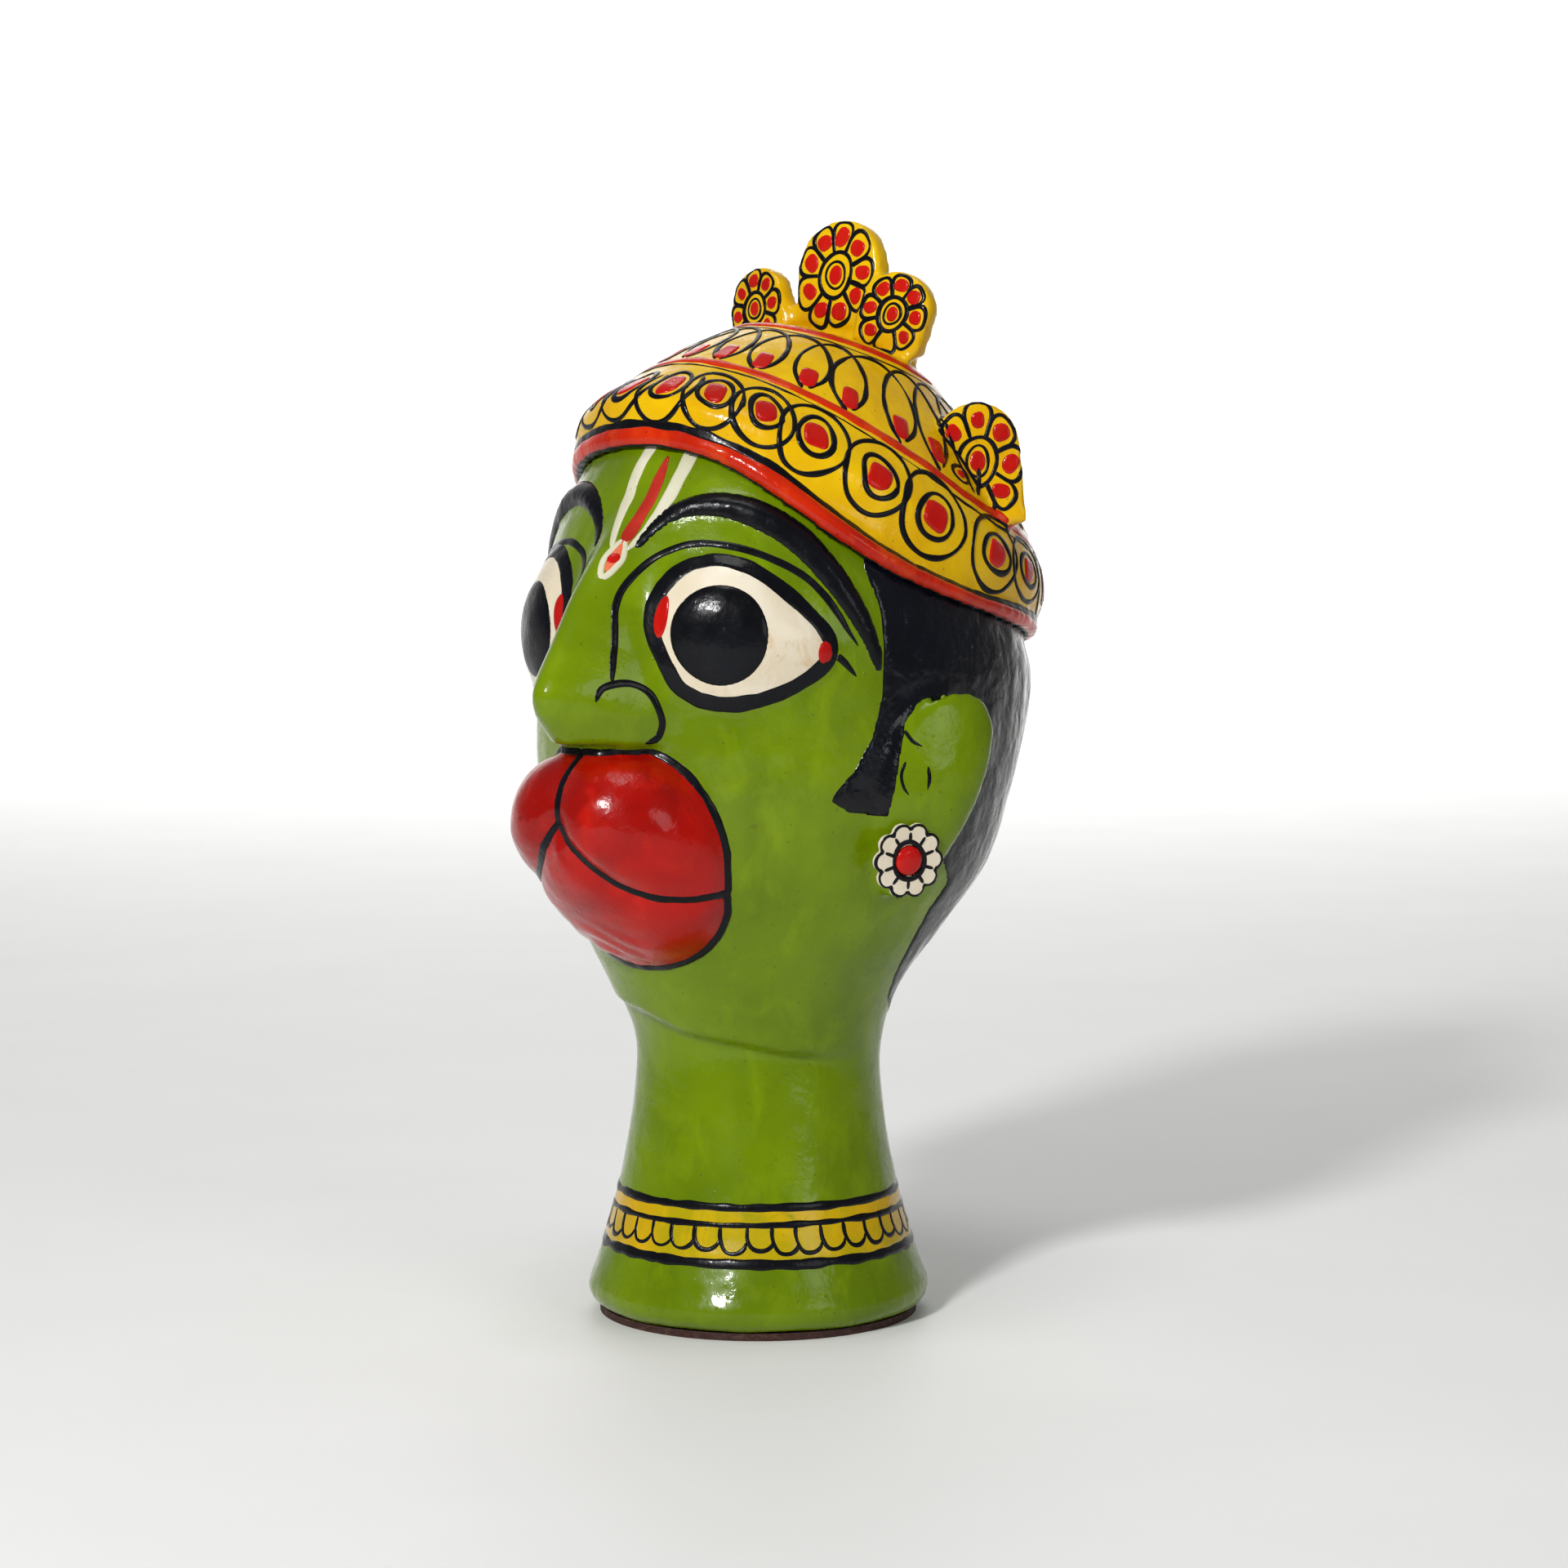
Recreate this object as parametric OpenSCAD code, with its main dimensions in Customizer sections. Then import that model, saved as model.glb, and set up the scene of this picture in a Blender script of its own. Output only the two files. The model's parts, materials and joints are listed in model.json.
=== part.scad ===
// Standing puppet head in painted papier-mache: two moulded half shells on a flared neck,
// with the features and the crown laid over them as separate pieces of pulp.
// The origin is on the neck's axis at the underside of the foot. +Z is up, the face
// looks along -Y, and +X is the puppet's own left.
// Points on the head are given by phi, the angle from the face's middle towards +X,
// and by level, the height of the section that they lie on.

/* [Neck and foot] */
// Radius of the neck just under the jaw
neck_r = 25.2; // [24:0.1:26]
// How much wider the flare is than the neck
flare_r = 12.6; // [8:0.2:14]
// Height at which the jaw meets the neck
jaw_z = 58; // [55:1:60]
// Radius of the round hole up through the neck
bore_r = 20; // [14:0.5:21]
// Outer radius of the dark ring that the head stands on
foot_r = 33; // [31:0.5:34]
// Height of the foot ring
foot_h = 1.5; // [1:0.1:2.5]

/* [Head] */
// Half the head's width across the eyes
head_half_w = 48; // [44:0.5:52]
// Half the head's depth from forehead to the back
head_half_d = 55.5; // [50:0.5:60]
// Thickness of the moulded shells
wall = 4; // [2.5:0.1:5]

/* [Crown] */
// Backward slope of the crown's rim, as fall per length
crown_slope = 0.42; // [0.2:0.01:0.5]
// Sideways slope of the crown's rim, as fall per length towards +X
crown_roll = 0.07; // [0:0.01:0.1]
// How far the rim dips over each ear
crown_dip = 7; // [0:0.5:10]
// Thickness of the crown's dome
crown_wall = 4; // [3:0.1:5]
// Thickness of the crest petals
petal_t = 4.6; // [3:0.1:6]

/* [Features] */
// How far the nose stands out from the face
nose_out = 21; // [12:0.5:24]
// How far the muzzle stands out from the face
muzzle_out = 16.5; // [10:0.5:24]
// How far the eyeballs bulge
eye_out = 2.6; // [1:0.1:5]
// Height of the brow ridges
brow_out = 1.4; // [1:0.1:3]
// Thickness of the ear flaps
ear_t = 4; // [2.5:0.1:5]
// How far the rear edge of an ear stands off the head
ear_gap = 5; // [2:0.5:8]

/* [Hidden] */

green = [0.44, 0.60, 0.07];
yellow = [0.90, 0.68, 0.06];
red = [0.72, 0.08, 0.04];
black = [0.05, 0.05, 0.07];
white = [0.88, 0.84, 0.76];
brown = [0.17, 0.07, 0.05];

$fn = 64;
skin_gap = 0.05; // between the head and a piece laid on it
piece_gap = 0.1; // between two pieces of the crown
edge_t = 0.3; // thickness that a laid-on piece thins to at its edge
spigot_h = 8;

// One section of the head or crown in each row: level, middle in Y, half width,
// half depth in front, half depth behind, slope back, slope sideways, dip at the sides.
w = head_half_w;
d = head_half_d;
roll = crown_roll;
head_rows = [
  [jaw_z, 0, neck_r + 0.7, neck_r + 0.7, neck_r + 0.6, -0.1, 0, 0],
  [jaw_z + 1.2, 0, 0.555 * w, 0.505 * d, 0.468 * d, -0.1, 0, 0],
  [jaw_z + 6, 0, 0.575 * w, 0.54 * d, 0.465 * d, -0.08, 0, 0],
  [jaw_z + 13, 0.5, 0.64 * w, 0.615 * d, 0.505 * d, -0.04, 0, 0],
  [jaw_z + 22, 2.3, 0.755 * w, 0.715 * d, 0.66 * d, 0, 0, 0],
  [jaw_z + 36, 5, 0.90 * w, 0.87 * d, 0.85 * d, 0, 0, 0],
  [jaw_z + 51, 6, 0.975 * w, 0.95 * d, 0.935 * d, 0, 0, 0],
  [jaw_z + 68, 8.3, w, 0.99 * d, d, -0.19 * crown_slope, 0, 0],
  [jaw_z + 82, 9.5, w, d, d, -0.48 * crown_slope, -0.2 * roll, 0.1 * crown_dip],
  [jaw_z + 102, 13.6, 0.945 * w, 0.82 * d, 0.87 * d, -crown_slope, -roll, crown_dip],
  [jaw_z + 117, 21, 0.83 * w, 0.76 * d, 0.76 * d, -crown_slope, -roll, crown_dip]
];
rim_level = jaw_z + 102;
shell_top = jaw_z + 112;

crown_rows = [
  [rim_level - 8, 11.6, 1.01 * w, 0.95 * d, 0.965 * d, -0.8 * crown_slope, -0.7 * roll, 0.66 * crown_dip],
  [rim_level, 13.6, 0.975 * w, 0.85 * d, 0.90 * d, -crown_slope, -roll, crown_dip],
  [rim_level + 8, 17, 0.99 * w, 0.90 * d, 0.93 * d, -crown_slope, -roll, crown_dip],
  [rim_level + 14, 20.5, 0.93 * w, 0.82 * d, 0.86 * d, -crown_slope, -roll, crown_dip],
  [rim_level + 26, 23.5, 0.71 * w, 0.60 * d, 0.66 * d, -crown_slope, -roll, 0.5 * crown_dip],
  [rim_level + 37, 24.5, 0.45 * w, 0.36 * d, 0.42 * d, -0.9 * crown_slope, -roll, 0]
];
band_level = rim_level + 14;
cap_level = rim_level + 37;

// Smooth value of every column at a level between the rows of a table
function at_row(rows, level, i = 0) =
  (i >= len(rows) - 2 || level < rows[i + 1][0]) ? i : at_row(rows, level, i + 1);
function row_slope(rows, i) =
  let (low = max(i - 1, 0), high = min(i + 1, len(rows) - 1))
  (rows[high] - rows[low]) / (rows[high][0] - rows[low][0]);
function section(rows, level) =
  let (i = at_row(rows, level),
       step = rows[i + 1][0] - rows[i][0],
       u = (level - rows[i][0]) / step)
  (2 * u^3 - 3 * u^2 + 1) * rows[i] + (u^3 - 2 * u^2 + u) * step * row_slope(rows, i)
  + (3 * u^2 - 2 * u^3) * rows[i + 1] + (u^3 - u^2) * step * row_slope(rows, i + 1);

// A point on the surface that the rows describe, and the way out from it
function skin(rows, phi, level) =
  let (s = section(rows, level),
       x = s[2] * sin(phi),
       y = s[1] - (cos(phi) > 0 ? s[3] : s[4]) * cos(phi))
  [x, y, level + s[6] * x + s[5] * (y - s[1]) - s[7] * sin(phi)^2];
function unit(v) = v / norm(v);
function outward(rows, phi, level) =
  unit(cross(skin(rows, phi + 1, level) - skin(rows, phi - 1, level),
             skin(rows, phi, level + 0.5) - skin(rows, phi, level - 0.5)));
function above(rows, phi, level, out) = skin(rows, phi, level) + out * outward(rows, phi, level);

// A closed solid between two grids of points of the same size; turned says that the
// grid runs the other way round
module slab(outer, inner, turned = false) {
  rows = len(outer);
  cols = len(outer[0]);
  count = rows * cols;
  edge = concat(
    [for (i = [0:cols - 2]) i],
    [for (k = [0:rows - 2]) k * cols + cols - 1],
    [for (i = [cols - 1:-1:1]) (rows - 1) * cols + i],
    [for (k = [rows - 1:-1:1]) k * cols]);
  faces = concat(
    [for (k = [0:rows - 2], i = [0:cols - 2]) each [
      [k * cols + i, (k + 1) * cols + i, (k + 1) * cols + i + 1],
      [k * cols + i, (k + 1) * cols + i + 1, k * cols + i + 1]]],
    [for (k = [0:rows - 2], i = [0:cols - 2]) each [
      [count + k * cols + i, count + (k + 1) * cols + i + 1, count + (k + 1) * cols + i],
      [count + k * cols + i, count + k * cols + i + 1, count + (k + 1) * cols + i + 1]]],
    [for (n = [0:len(edge) - 1]) let (m = edge[n], next = edge[(n + 1) % len(edge)]) each [
      [m, next, count + next], [m, count + next, count + m]]]);
  turned_faces = [for (f = faces) [f[2], f[1], f[0]]];
  polyhedron(points = concat([for (r = outer) each r], [for (r = inner) each r]),
             faces = turned ? turned_faces : faces, convexity = 8);
}

// A closed solid round an endless band: each ring is the closed outline of one slice
module hoop(rings) {
  slices = len(rings);
  sides = len(rings[0]);
  polyhedron(points = [for (r = rings) each r],
    faces = [for (k = [0:slices - 1], i = [0:sides - 1]) let (
      here = k * sides, next = ((k + 1) % slices) * sides, j = (i + 1) % sides) each [
        [here + i, next + i, next + j], [here + i, next + j, here + j]]],
    convexity = 8);
}

// A pad laid over the head: polar rings about a middle, with a height for each ring
module pad(rings_out, rings_in, turned) {
  rings = len(rings_out);
  sides = len(rings_out[0]);
  outer = [for (r = rings_out) each r];
  inner = [for (r = rings_in) each r];
  count = len(outer);
  side_faces = [for (k = [0:rings - 2], i = [0:sides - 1]) let (j = (i + 1) % sides) each [
    [k * sides + i, (k + 1) * sides + j, (k + 1) * sides + i],
    [k * sides + i, k * sides + j, (k + 1) * sides + j]]];
  under_faces = [for (f = side_faces) [count + f[2], count + f[1], count + f[0]]];
  last = (rings - 1) * sides;
  rim_faces = [for (i = [0:sides - 1]) let (j = (i + 1) % sides) each [
    [last + i, last + j, count + last + j], [last + i, count + last + j, count + last + i]]];
  middle = 2 * count;
  caps = [for (i = [0:sides - 1]) let (j = (i + 1) % sides) each [
    [middle, j, i], [middle + 1, count + i, count + j]]];
  all_faces = concat(side_faces, under_faces, rim_faces, caps);
  middles = [mean(rings_out[0]), mean(rings_in[0])];
  polyhedron(points = concat(outer, inner, middles),
    faces = turned ? [for (f = all_faces) [f[2], f[1], f[0]]] : all_faces, convexity = 8);
}
function mean(points) = [for (c = [0:2])
  [for (p = points) p[c]] * [for (p = points) 1] / len(points)];

// Half shells of the head
shell_cols = 20;
shell_rows = 20;
function shell_level(k) = jaw_z + (shell_top - jaw_z) * pow(k / shell_rows, 1.25);
function shell_grid(start, out) = [for (k = [0:shell_rows]) [for (i = [0:shell_cols])
  above(head_rows, start + 180 * i / shell_cols, shell_level(k), out)]];
module half_shell(start) {
  slab(shell_grid(start, 0), shell_grid(start, -wall), true);
}
module face_shell() {
  color(green) half_shell(-90);
}
module back_shell() {
  color(black) half_shell(90);
}

// Paper strips pasted inside over the two seams
strip_t = 1;
strip_gap = 0.3;
strip_half_angle = 8;
strip_rows = 10;
strip_low = jaw_z + 8;
strip_high = shell_top - 4;
function strip_grid(seam, out) = [for (k = [0:strip_rows])
  [for (i = [-1:1]) above(head_rows, seam + i * strip_half_angle,
    strip_low + (strip_high - strip_low) * k / strip_rows, out)]];
module seam_strips() {
  color(white)
    for (seam = [-90, 90])
      slab(strip_grid(seam, -wall - strip_gap), strip_grid(seam, -wall - strip_gap - strip_t), true);
}

// Neck, with its flare and a short spigot inside the jaw
function neck_radius(z) = neck_r + flare_r * ((jaw_z - z) / jaw_z)^2;
edge_r = 4;
module neck_tube() {
  color(green)
    rotate_extrude($fn = 96)
      polygon(concat(
        [[bore_r, foot_h], [foot_r, foot_h]],
        [for (t = [-70:20:10]) [neck_radius(foot_h + edge_r) - edge_r + edge_r * cos(t),
                                foot_h + edge_r + edge_r * sin(t)]],
        [for (z = [foot_h + edge_r + 4:6:jaw_z - 1]) [neck_radius(z), z]],
        [[neck_r, jaw_z], [neck_r, jaw_z + spigot_h], [bore_r, jaw_z + spigot_h]]));
}
module foot_ring() {
  color(brown)
    rotate_extrude($fn = 96)
      translate([bore_r, 0])
        square([foot_r - bore_r, foot_h]);
}

// Nose: a wedge that widens down to the nostrils
nose_top = jaw_z + 93;
nose_tip = jaw_z + 69;
nose_low = jaw_z + 60.7;
nose_rows = 14;
nose_cols = 14;
nose_top_half = 5;
nose_spread = 13;
function nose_half(t) = nose_top_half + nose_spread * pow(1 - t, 0.9);
function nose_level(t) = nose_low + (nose_top - nose_low) * t;
function nose_ridge(t) =
  let (tip = (nose_tip - nose_low) / (nose_top - nose_low))
  t > tip ? nose_out * pow((1 - t) / (1 - tip), 1.15)
          : nose_out * (0.62 + 0.38 * sin(90 * t / tip));
function nose_height(s, t) =
  edge_t + nose_ridge(t) * (0.8 * pow(cos(90 * s), 1.2) + 0.2 * exp(-9 * s * s) * (1 - abs(s)));
function nose_point(s, t, out) =
  let (phi = s * nose_half(t),
       level = nose_level(t))
  above(head_rows, phi, level, skin_gap)
    + out * nose_height(s, t) * unit(outward(head_rows, phi, level) + [0, -1, 0]);
function nose_grid(out) = [for (k = [0:nose_rows])
  [for (i = [0:nose_cols]) nose_point(2 * i / nose_cols - 1, k / nose_rows, out)]];
module nose() {
  color(green) slab(nose_grid(1), nose_grid(0), true);
}

// Muzzle: one round snout, divided at the middle and along the mouth
muzzle_half = 31;
muzzle_mid = jaw_z + 34;
muzzle_up = 26;
muzzle_down = 17;
muzzle_power_up = 2.7;
muzzle_power_down = 2.2;
muzzle_peak = jaw_z + 46;
function muzzle_edge(phi, reach, power) =
  reach * pow(max(0, 1 - pow(abs(phi) / muzzle_half, power)), 1 / power);
mouth_low = muzzle_mid - 0.5;
mouth_rise = 15;
mouth_gap = 0.2;
function mouth_run(phi) = phi < 0 ? 13 : 9;
function mouth(phi) = mouth_low + mouth_rise * exp(-pow(abs(phi) / mouth_run(phi), 1.3));
function muzzle_width(level) =
  let (reach = level > muzzle_mid ? muzzle_up : muzzle_down,
       power = level > muzzle_mid ? muzzle_power_up : muzzle_power_down)
  muzzle_half * pow(max(0.001, 1 - pow(abs(level - muzzle_mid) / reach, power)), 1 / power);
function muzzle_dome(phi, level) =
  let (across = min(1, abs(phi) / muzzle_width(level)),
       up = max(0, level - muzzle_peak) / (muzzle_mid + muzzle_up - muzzle_peak),
       down = max(0, muzzle_peak - level) / (muzzle_peak - muzzle_mid + muzzle_down))
  0.4 + muzzle_out * pow(max(0, 1 - pow(across, 2.4)), 0.7) * sqrt(max(0, 1 - pow(up, 2.6)))
    * pow(max(0, 1 - down), 0.8);
crease_deep = 0.16;
function crease(s) = 1 - crease_deep * pow(max(0, 1 - s), 3);
function muzzle_point(phi, level, out) =
  let (n = outward(head_rows, phi, level))
  skin(head_rows, phi, level) + skin_gap * n + out * unit(n + [0, -0.7, 0]);
lobe_cols = 14;
lobe_rows = 12;
function lobe_grid(side, out) = [for (k = [0:lobe_rows]) let (t = k / lobe_rows)
  [for (i = [0:lobe_cols]) let (
    s = 0.01 + 0.975 * sin(90 * i / lobe_cols),
    phi = muzzle_half * s,
    low = mouth(side * phi) + mouth_gap,
    high = muzzle_mid + muzzle_edge(phi, muzzle_up, muzzle_power_up),
    level = low + (high - low) * t)
    muzzle_point(side * phi, level, out * muzzle_dome(phi, level) * crease(2.2 * s) * crease(3 * t))]];
module lobe(side) {
  color(red) slab(lobe_grid(side, 1), lobe_grid(side, 0), side > 0);
}
module muzzle_left() {
  lobe(1);
}
module muzzle_right() {
  lobe(-1);
}
lip_cols = 20;
lip_rows = 8;
function lip_grid(out) = [for (k = [0:lip_rows]) let (t = k / lip_rows)
  [for (i = [0:lip_cols]) let (
    phi = 0.975 * muzzle_half * sin(180 * i / lip_cols - 90),
    high = mouth(phi) - mouth_gap,
    low = muzzle_mid - muzzle_edge(phi, muzzle_down, muzzle_power_down),
    level = low + (high - low) * t)
    muzzle_point(phi, level, out * muzzle_dome(phi, level) * crease(3 * (1 - t)))]];
module lower_lip() {
  color(red) slab(lip_grid(1), lip_grid(0), true);
}

// Eyes: low domes with a pointed outer corner
eye_phi = 33.5;
eye_level = jaw_z + 77.2;
eye_half_phi = 20.2;
eye_half_h = 11;
eye_sides = 28;
eye_rings = [0.25, 0.5, 0.75, 0.92, 1];
function eye_point(side, ring, turn, out) =
  let (reach = 1 - 0.45 * pow((1 + cos(turn)) / 2, 2),
       phi = eye_phi + eye_half_phi * ring * cos(turn),
       level = eye_level + ring * (eye_half_h * sin(turn) * reach - 0.5 * cos(turn)))
  above(head_rows, side * phi, level, skin_gap + out * (edge_t + eye_out * (1 - ring^2)));
function eye_grid(side, out) = [for (ring = eye_rings)
  [for (i = [0:eye_sides - 1]) eye_point(side, ring, 360 * i / eye_sides, out)]];
module eye(side) {
  color(white) pad(eye_grid(side, 1), eye_grid(side, 0), side > 0);
}
module eye_left() {
  eye(1);
}
module eye_right() {
  eye(-1);
}

// Brows: tapered ridges arched over the eyes
brow_cols = 20;
brow_peak = 0.58;
brow_power = 1.8;
brow_arch = 18;
brow_drop = 13;
brow_wide = 2.6;
brow_low = jaw_z + 84;
brow_phi = 5;
brow_span = 61;
brow_thin = 0.4;
function brow_level(t) =
  let (x = t < brow_peak ? 1 - t / brow_peak : (t - brow_peak) / (1 - brow_peak))
  brow_low - brow_drop * t + brow_arch * pow(max(0, 1 - pow(x, brow_power)), 1 / brow_power);
function brow_grid(side, out) = [for (k = [-2:2]) let (q = k / 2)
  [for (i = [0:brow_cols]) let (t = 0.02 + 0.96 * i / brow_cols,
    phi = brow_phi + brow_span * t,
    half = brow_thin + brow_wide * pow(t, 0.8) * sqrt(1 - pow(t, 6)),
    height = 0.2 + brow_out * pow(sin(180 * t), 0.6) * (1 - q * q))
    above(head_rows, side * phi, brow_level(t) + half * q, skin_gap + out * height)]];
module brow(side) {
  color(black) slab(brow_grid(side, 1), brow_grid(side, 0), side > 0);
}
module brow_left() {
  brow(1);
}
module brow_right() {
  brow(-1);
}

// Ears: flaps that lie on the head in front and stand off behind
ear_phi = 80;
ear_level = jaw_z + 52;
ear_half_h = 20;
ear_half_phi = 9.5;
ear_front_phi = 13.5;
ear_front_t = 0.15;
ear_flare = 0.25;
ear_lean = 5;
ear_sides = 28;
ear_rings = [0.3, 0.6, 0.85, 1];
function ear_point(side, ring, turn, out) =
  let (up = ring * sin(turn),
       back = ring * cos(turn),
       reach = back > 0 ? ear_half_phi : ear_front_phi,
       phi = ear_phi + reach * back * (1 + ear_flare * up) + ear_lean * up,
       level = ear_level + ear_half_h * up,
       stand = 0.5 * ear_gap * (1 + back) * (0.6 + 0.4 * (1 + up) / 2),
       full = ear_front_t + (1 - ear_front_t) * min(1, 1 + back),
       thick = ear_t * full * (0.45 + 0.55 * sqrt(max(0, 1 - ring^2))))
  above(head_rows, side * phi, level, skin_gap + stand + out * thick);
function ear_grid(side, out) = [for (ring = ear_rings)
  [for (i = [0:ear_sides - 1]) ear_point(side, ring, 360 * i / ear_sides, out)]];
module ear(side) {
  color(green) pad(ear_grid(side, 1), ear_grid(side, 0), side > 0);
}
module ear_left() {
  ear(1);
}
module ear_right() {
  ear(-1);
}

// Earrings: a flower with a bead on each ear lobe
flower_phi = 72.5;
flower_level = jaw_z + 41;
flower_out = 4.9;
flower_turn = 66;
petals = 10;
flower_r = 7.7;
petal_r = 2.05;
flower_t = 1.4;
bead_r = 3;
module on_lobe(side) {
  translate(above(head_rows, side * flower_phi, flower_level, flower_out))
    rotate([0, 0, side * flower_turn])
      rotate([96, 0, 0])
        children();
}
module earring(side) {
  color(white)
    on_lobe(side)
      linear_extrude(flower_t)
        difference() {
          union() {
            circle(r = flower_r - petal_r + 0.1);
            for (i = [0:petals - 1])
              rotate(360 * i / petals)
                translate([flower_r - petal_r, 0])
                  circle(r = petal_r, $fn = 24);
          }
          circle(r = bead_r + 0.02);
        }
}
module earring_bead(side) {
  color(red)
    on_lobe(side)
      rotate_extrude($fn = 32)
        polygon([[0, 0], [bead_r, 0], [bead_r, flower_t],
                 [0.7 * bead_r, flower_t + 0.7], [0, flower_t + 0.95]]);
}
module earring_left() {
  earring(1);
}
module earring_right() {
  earring(-1);
}
module earring_bead_left() {
  earring_bead(1);
}
module earring_bead_right() {
  earring_bead(-1);
}

// Crown: a rolled rim on the brow line, a bulging band above it and a dome over all
crown_cols = 48;
rim_half_h = 1.9;
rim_out = 3.2;
rim_drop = 1;
function crown_angle(i) = 360 * i / crown_cols;

// How far the rim rises over the forehead and falls over the ears, as a short sum of waves
wave_cos = [0.3, 0.6, 0.8, 0.8, -0.3];
wave_sin = [0, -1.9, -1.5, 0.2, 1.4];
function rim_wave(phi) =
  [for (n = [0:4]) cos(n * phi)] * wave_cos + [for (n = [0:4]) sin(n * phi)] * wave_sin;
module crown_rim() {
  color(red)
    hoop([for (k = [0:crown_cols - 1]) let (phi = crown_angle(k)) [for (q = [-90:36:90])
      above(head_rows, phi, rim_level - rim_drop + rim_wave(phi) + rim_half_h * sin(q),
            skin_gap + piece_gap + rim_out * pow(max(0, cos(q)), 0.6))]]);
}
band_lift = 1.2;
band_steps = 6;
function band_slice(phi) =
  let (low = rim_level + band_lift + rim_wave(phi))
  concat(
    [for (k = [0:band_steps]) skin(crown_rows, phi, low + (band_level - low) * k / band_steps)],
    [for (k = [2:-1:0]) above(head_rows, phi, low + (shell_top - low) * k / 2, piece_gap)]);
module crown_band() {
  color(yellow) hoop([for (k = [0:crown_cols - 1]) band_slice(crown_angle(k))]);
}
dome_steps = 7;
function dome_ring(k, out) = [for (i = [0:crown_cols - 1])
  above(crown_rows, crown_angle(i), band_level + piece_gap + (cap_level - band_level) * k / dome_steps, out)];
module crown_dome() {
  outer = [for (k = [0:dome_steps]) dome_ring(k, 0)];
  inner = [for (k = [0:dome_steps]) dome_ring(k, -crown_wall)];
  color(yellow) pad([for (k = [dome_steps:-1:0]) outer[k]], [for (k = [dome_steps:-1:0]) inner[k]], false);
}

// Crest: three petals on a seat at the top of the dome; each petal is given by its
// width, its height and the width of its root
seat_y = 23.4;
seat_tilt = 21;
seat_roll = 4;
seat_half_w = 0.44 * w - 1.5;
seat_h = 9.5;
seat_back = 3.6;
seat_depth = 0.3;
module crest_frame() {
  translate([0, seat_y, cap_level + piece_gap])
    rotate([-seat_tilt, seat_roll, 0])
      children();
}
module crest_seat() {
  color(yellow)
    crest_frame()
      translate([0, seat_back, 0])
        linear_extrude(seat_h)
          scale([1, seat_depth])
            circle(r = seat_half_w);
}
module petal(width, height, root) {
  rotate([90, 0, 0])
    translate([0, 0, -petal_t / 2])
      linear_extrude(petal_t)
        hull() {
          translate([0, height - width / 2])
            circle(r = width / 2, $fn = 40);
          translate([-root / 2, 0])
            square([root, 1]);
        }
}
petal_z = cap_level + 5.5;
petal_lean = 8;
side_spread = 16.5;
side_shift = -1.5;
side_drop = 2.5;
side_splay = 14;
centre_splay = 6;
module crest_centre() {
  color(yellow)
    translate([0, seat_y + 1.5, petal_z + 2])
      rotate([-petal_lean, centre_splay, 0])
        petal(21.5, 22, 17);
}
module crest_side(side) {
  color(yellow)
    translate([side * side_spread + side_shift, seat_y + 0.5, petal_z - side_drop - side])
      rotate([-petal_lean, side * side_splay, side * petal_lean])
        petal(16.5, 16.5, 16);
}
module crest_left() {
  crest_side(1);
}
module crest_right() {
  crest_side(-1);
}

// One taller petal stands on the band's shoulder behind each ear
shoulder_phi = 95;
shoulder_in = 5.2;
shoulder_turn = 42;
module side_crest(side) {
  foot = skin(crown_rows, side * shoulder_phi, band_level);
  color(yellow)
    translate(foot + [-side * shoulder_in, -2, 1])
      rotate([-6, 0, side * shoulder_turn])
        petal(17, 25, 20);
}
module side_crest_left() {
  side_crest(1);
}
module side_crest_right() {
  side_crest(-1);
}

neck_tube();
foot_ring();
face_shell();
back_shell();
seam_strips();
nose();
muzzle_left();
muzzle_right();
lower_lip();
brow_left();
brow_right();
eye_left();
eye_right();
ear_left();
ear_right();
earring_left();
earring_right();
earring_bead_left();
earring_bead_right();
crown_rim();
crown_band();
crown_dome();
crest_seat();
crest_centre();
crest_left();
crest_right();
side_crest_left();
side_crest_right();
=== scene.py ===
"""Painted papier-mache kathputli head: hand-moulded skins over the CAD frame, and its enamel painting.

A skin is a fused and hand-smoothed pulp surface. A coat is a closed film of paint cut out of a skin. A Film
is a set of brush strokes and dabs laid on a skin. Lengths are in mm unless MM turns them to metres, and
angles are in degrees.
"""

import json
import math
import random

import bmesh
import bpy
import numpy as np
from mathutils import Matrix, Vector, noise
from mathutils.bvhtree import BVHTree

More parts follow.
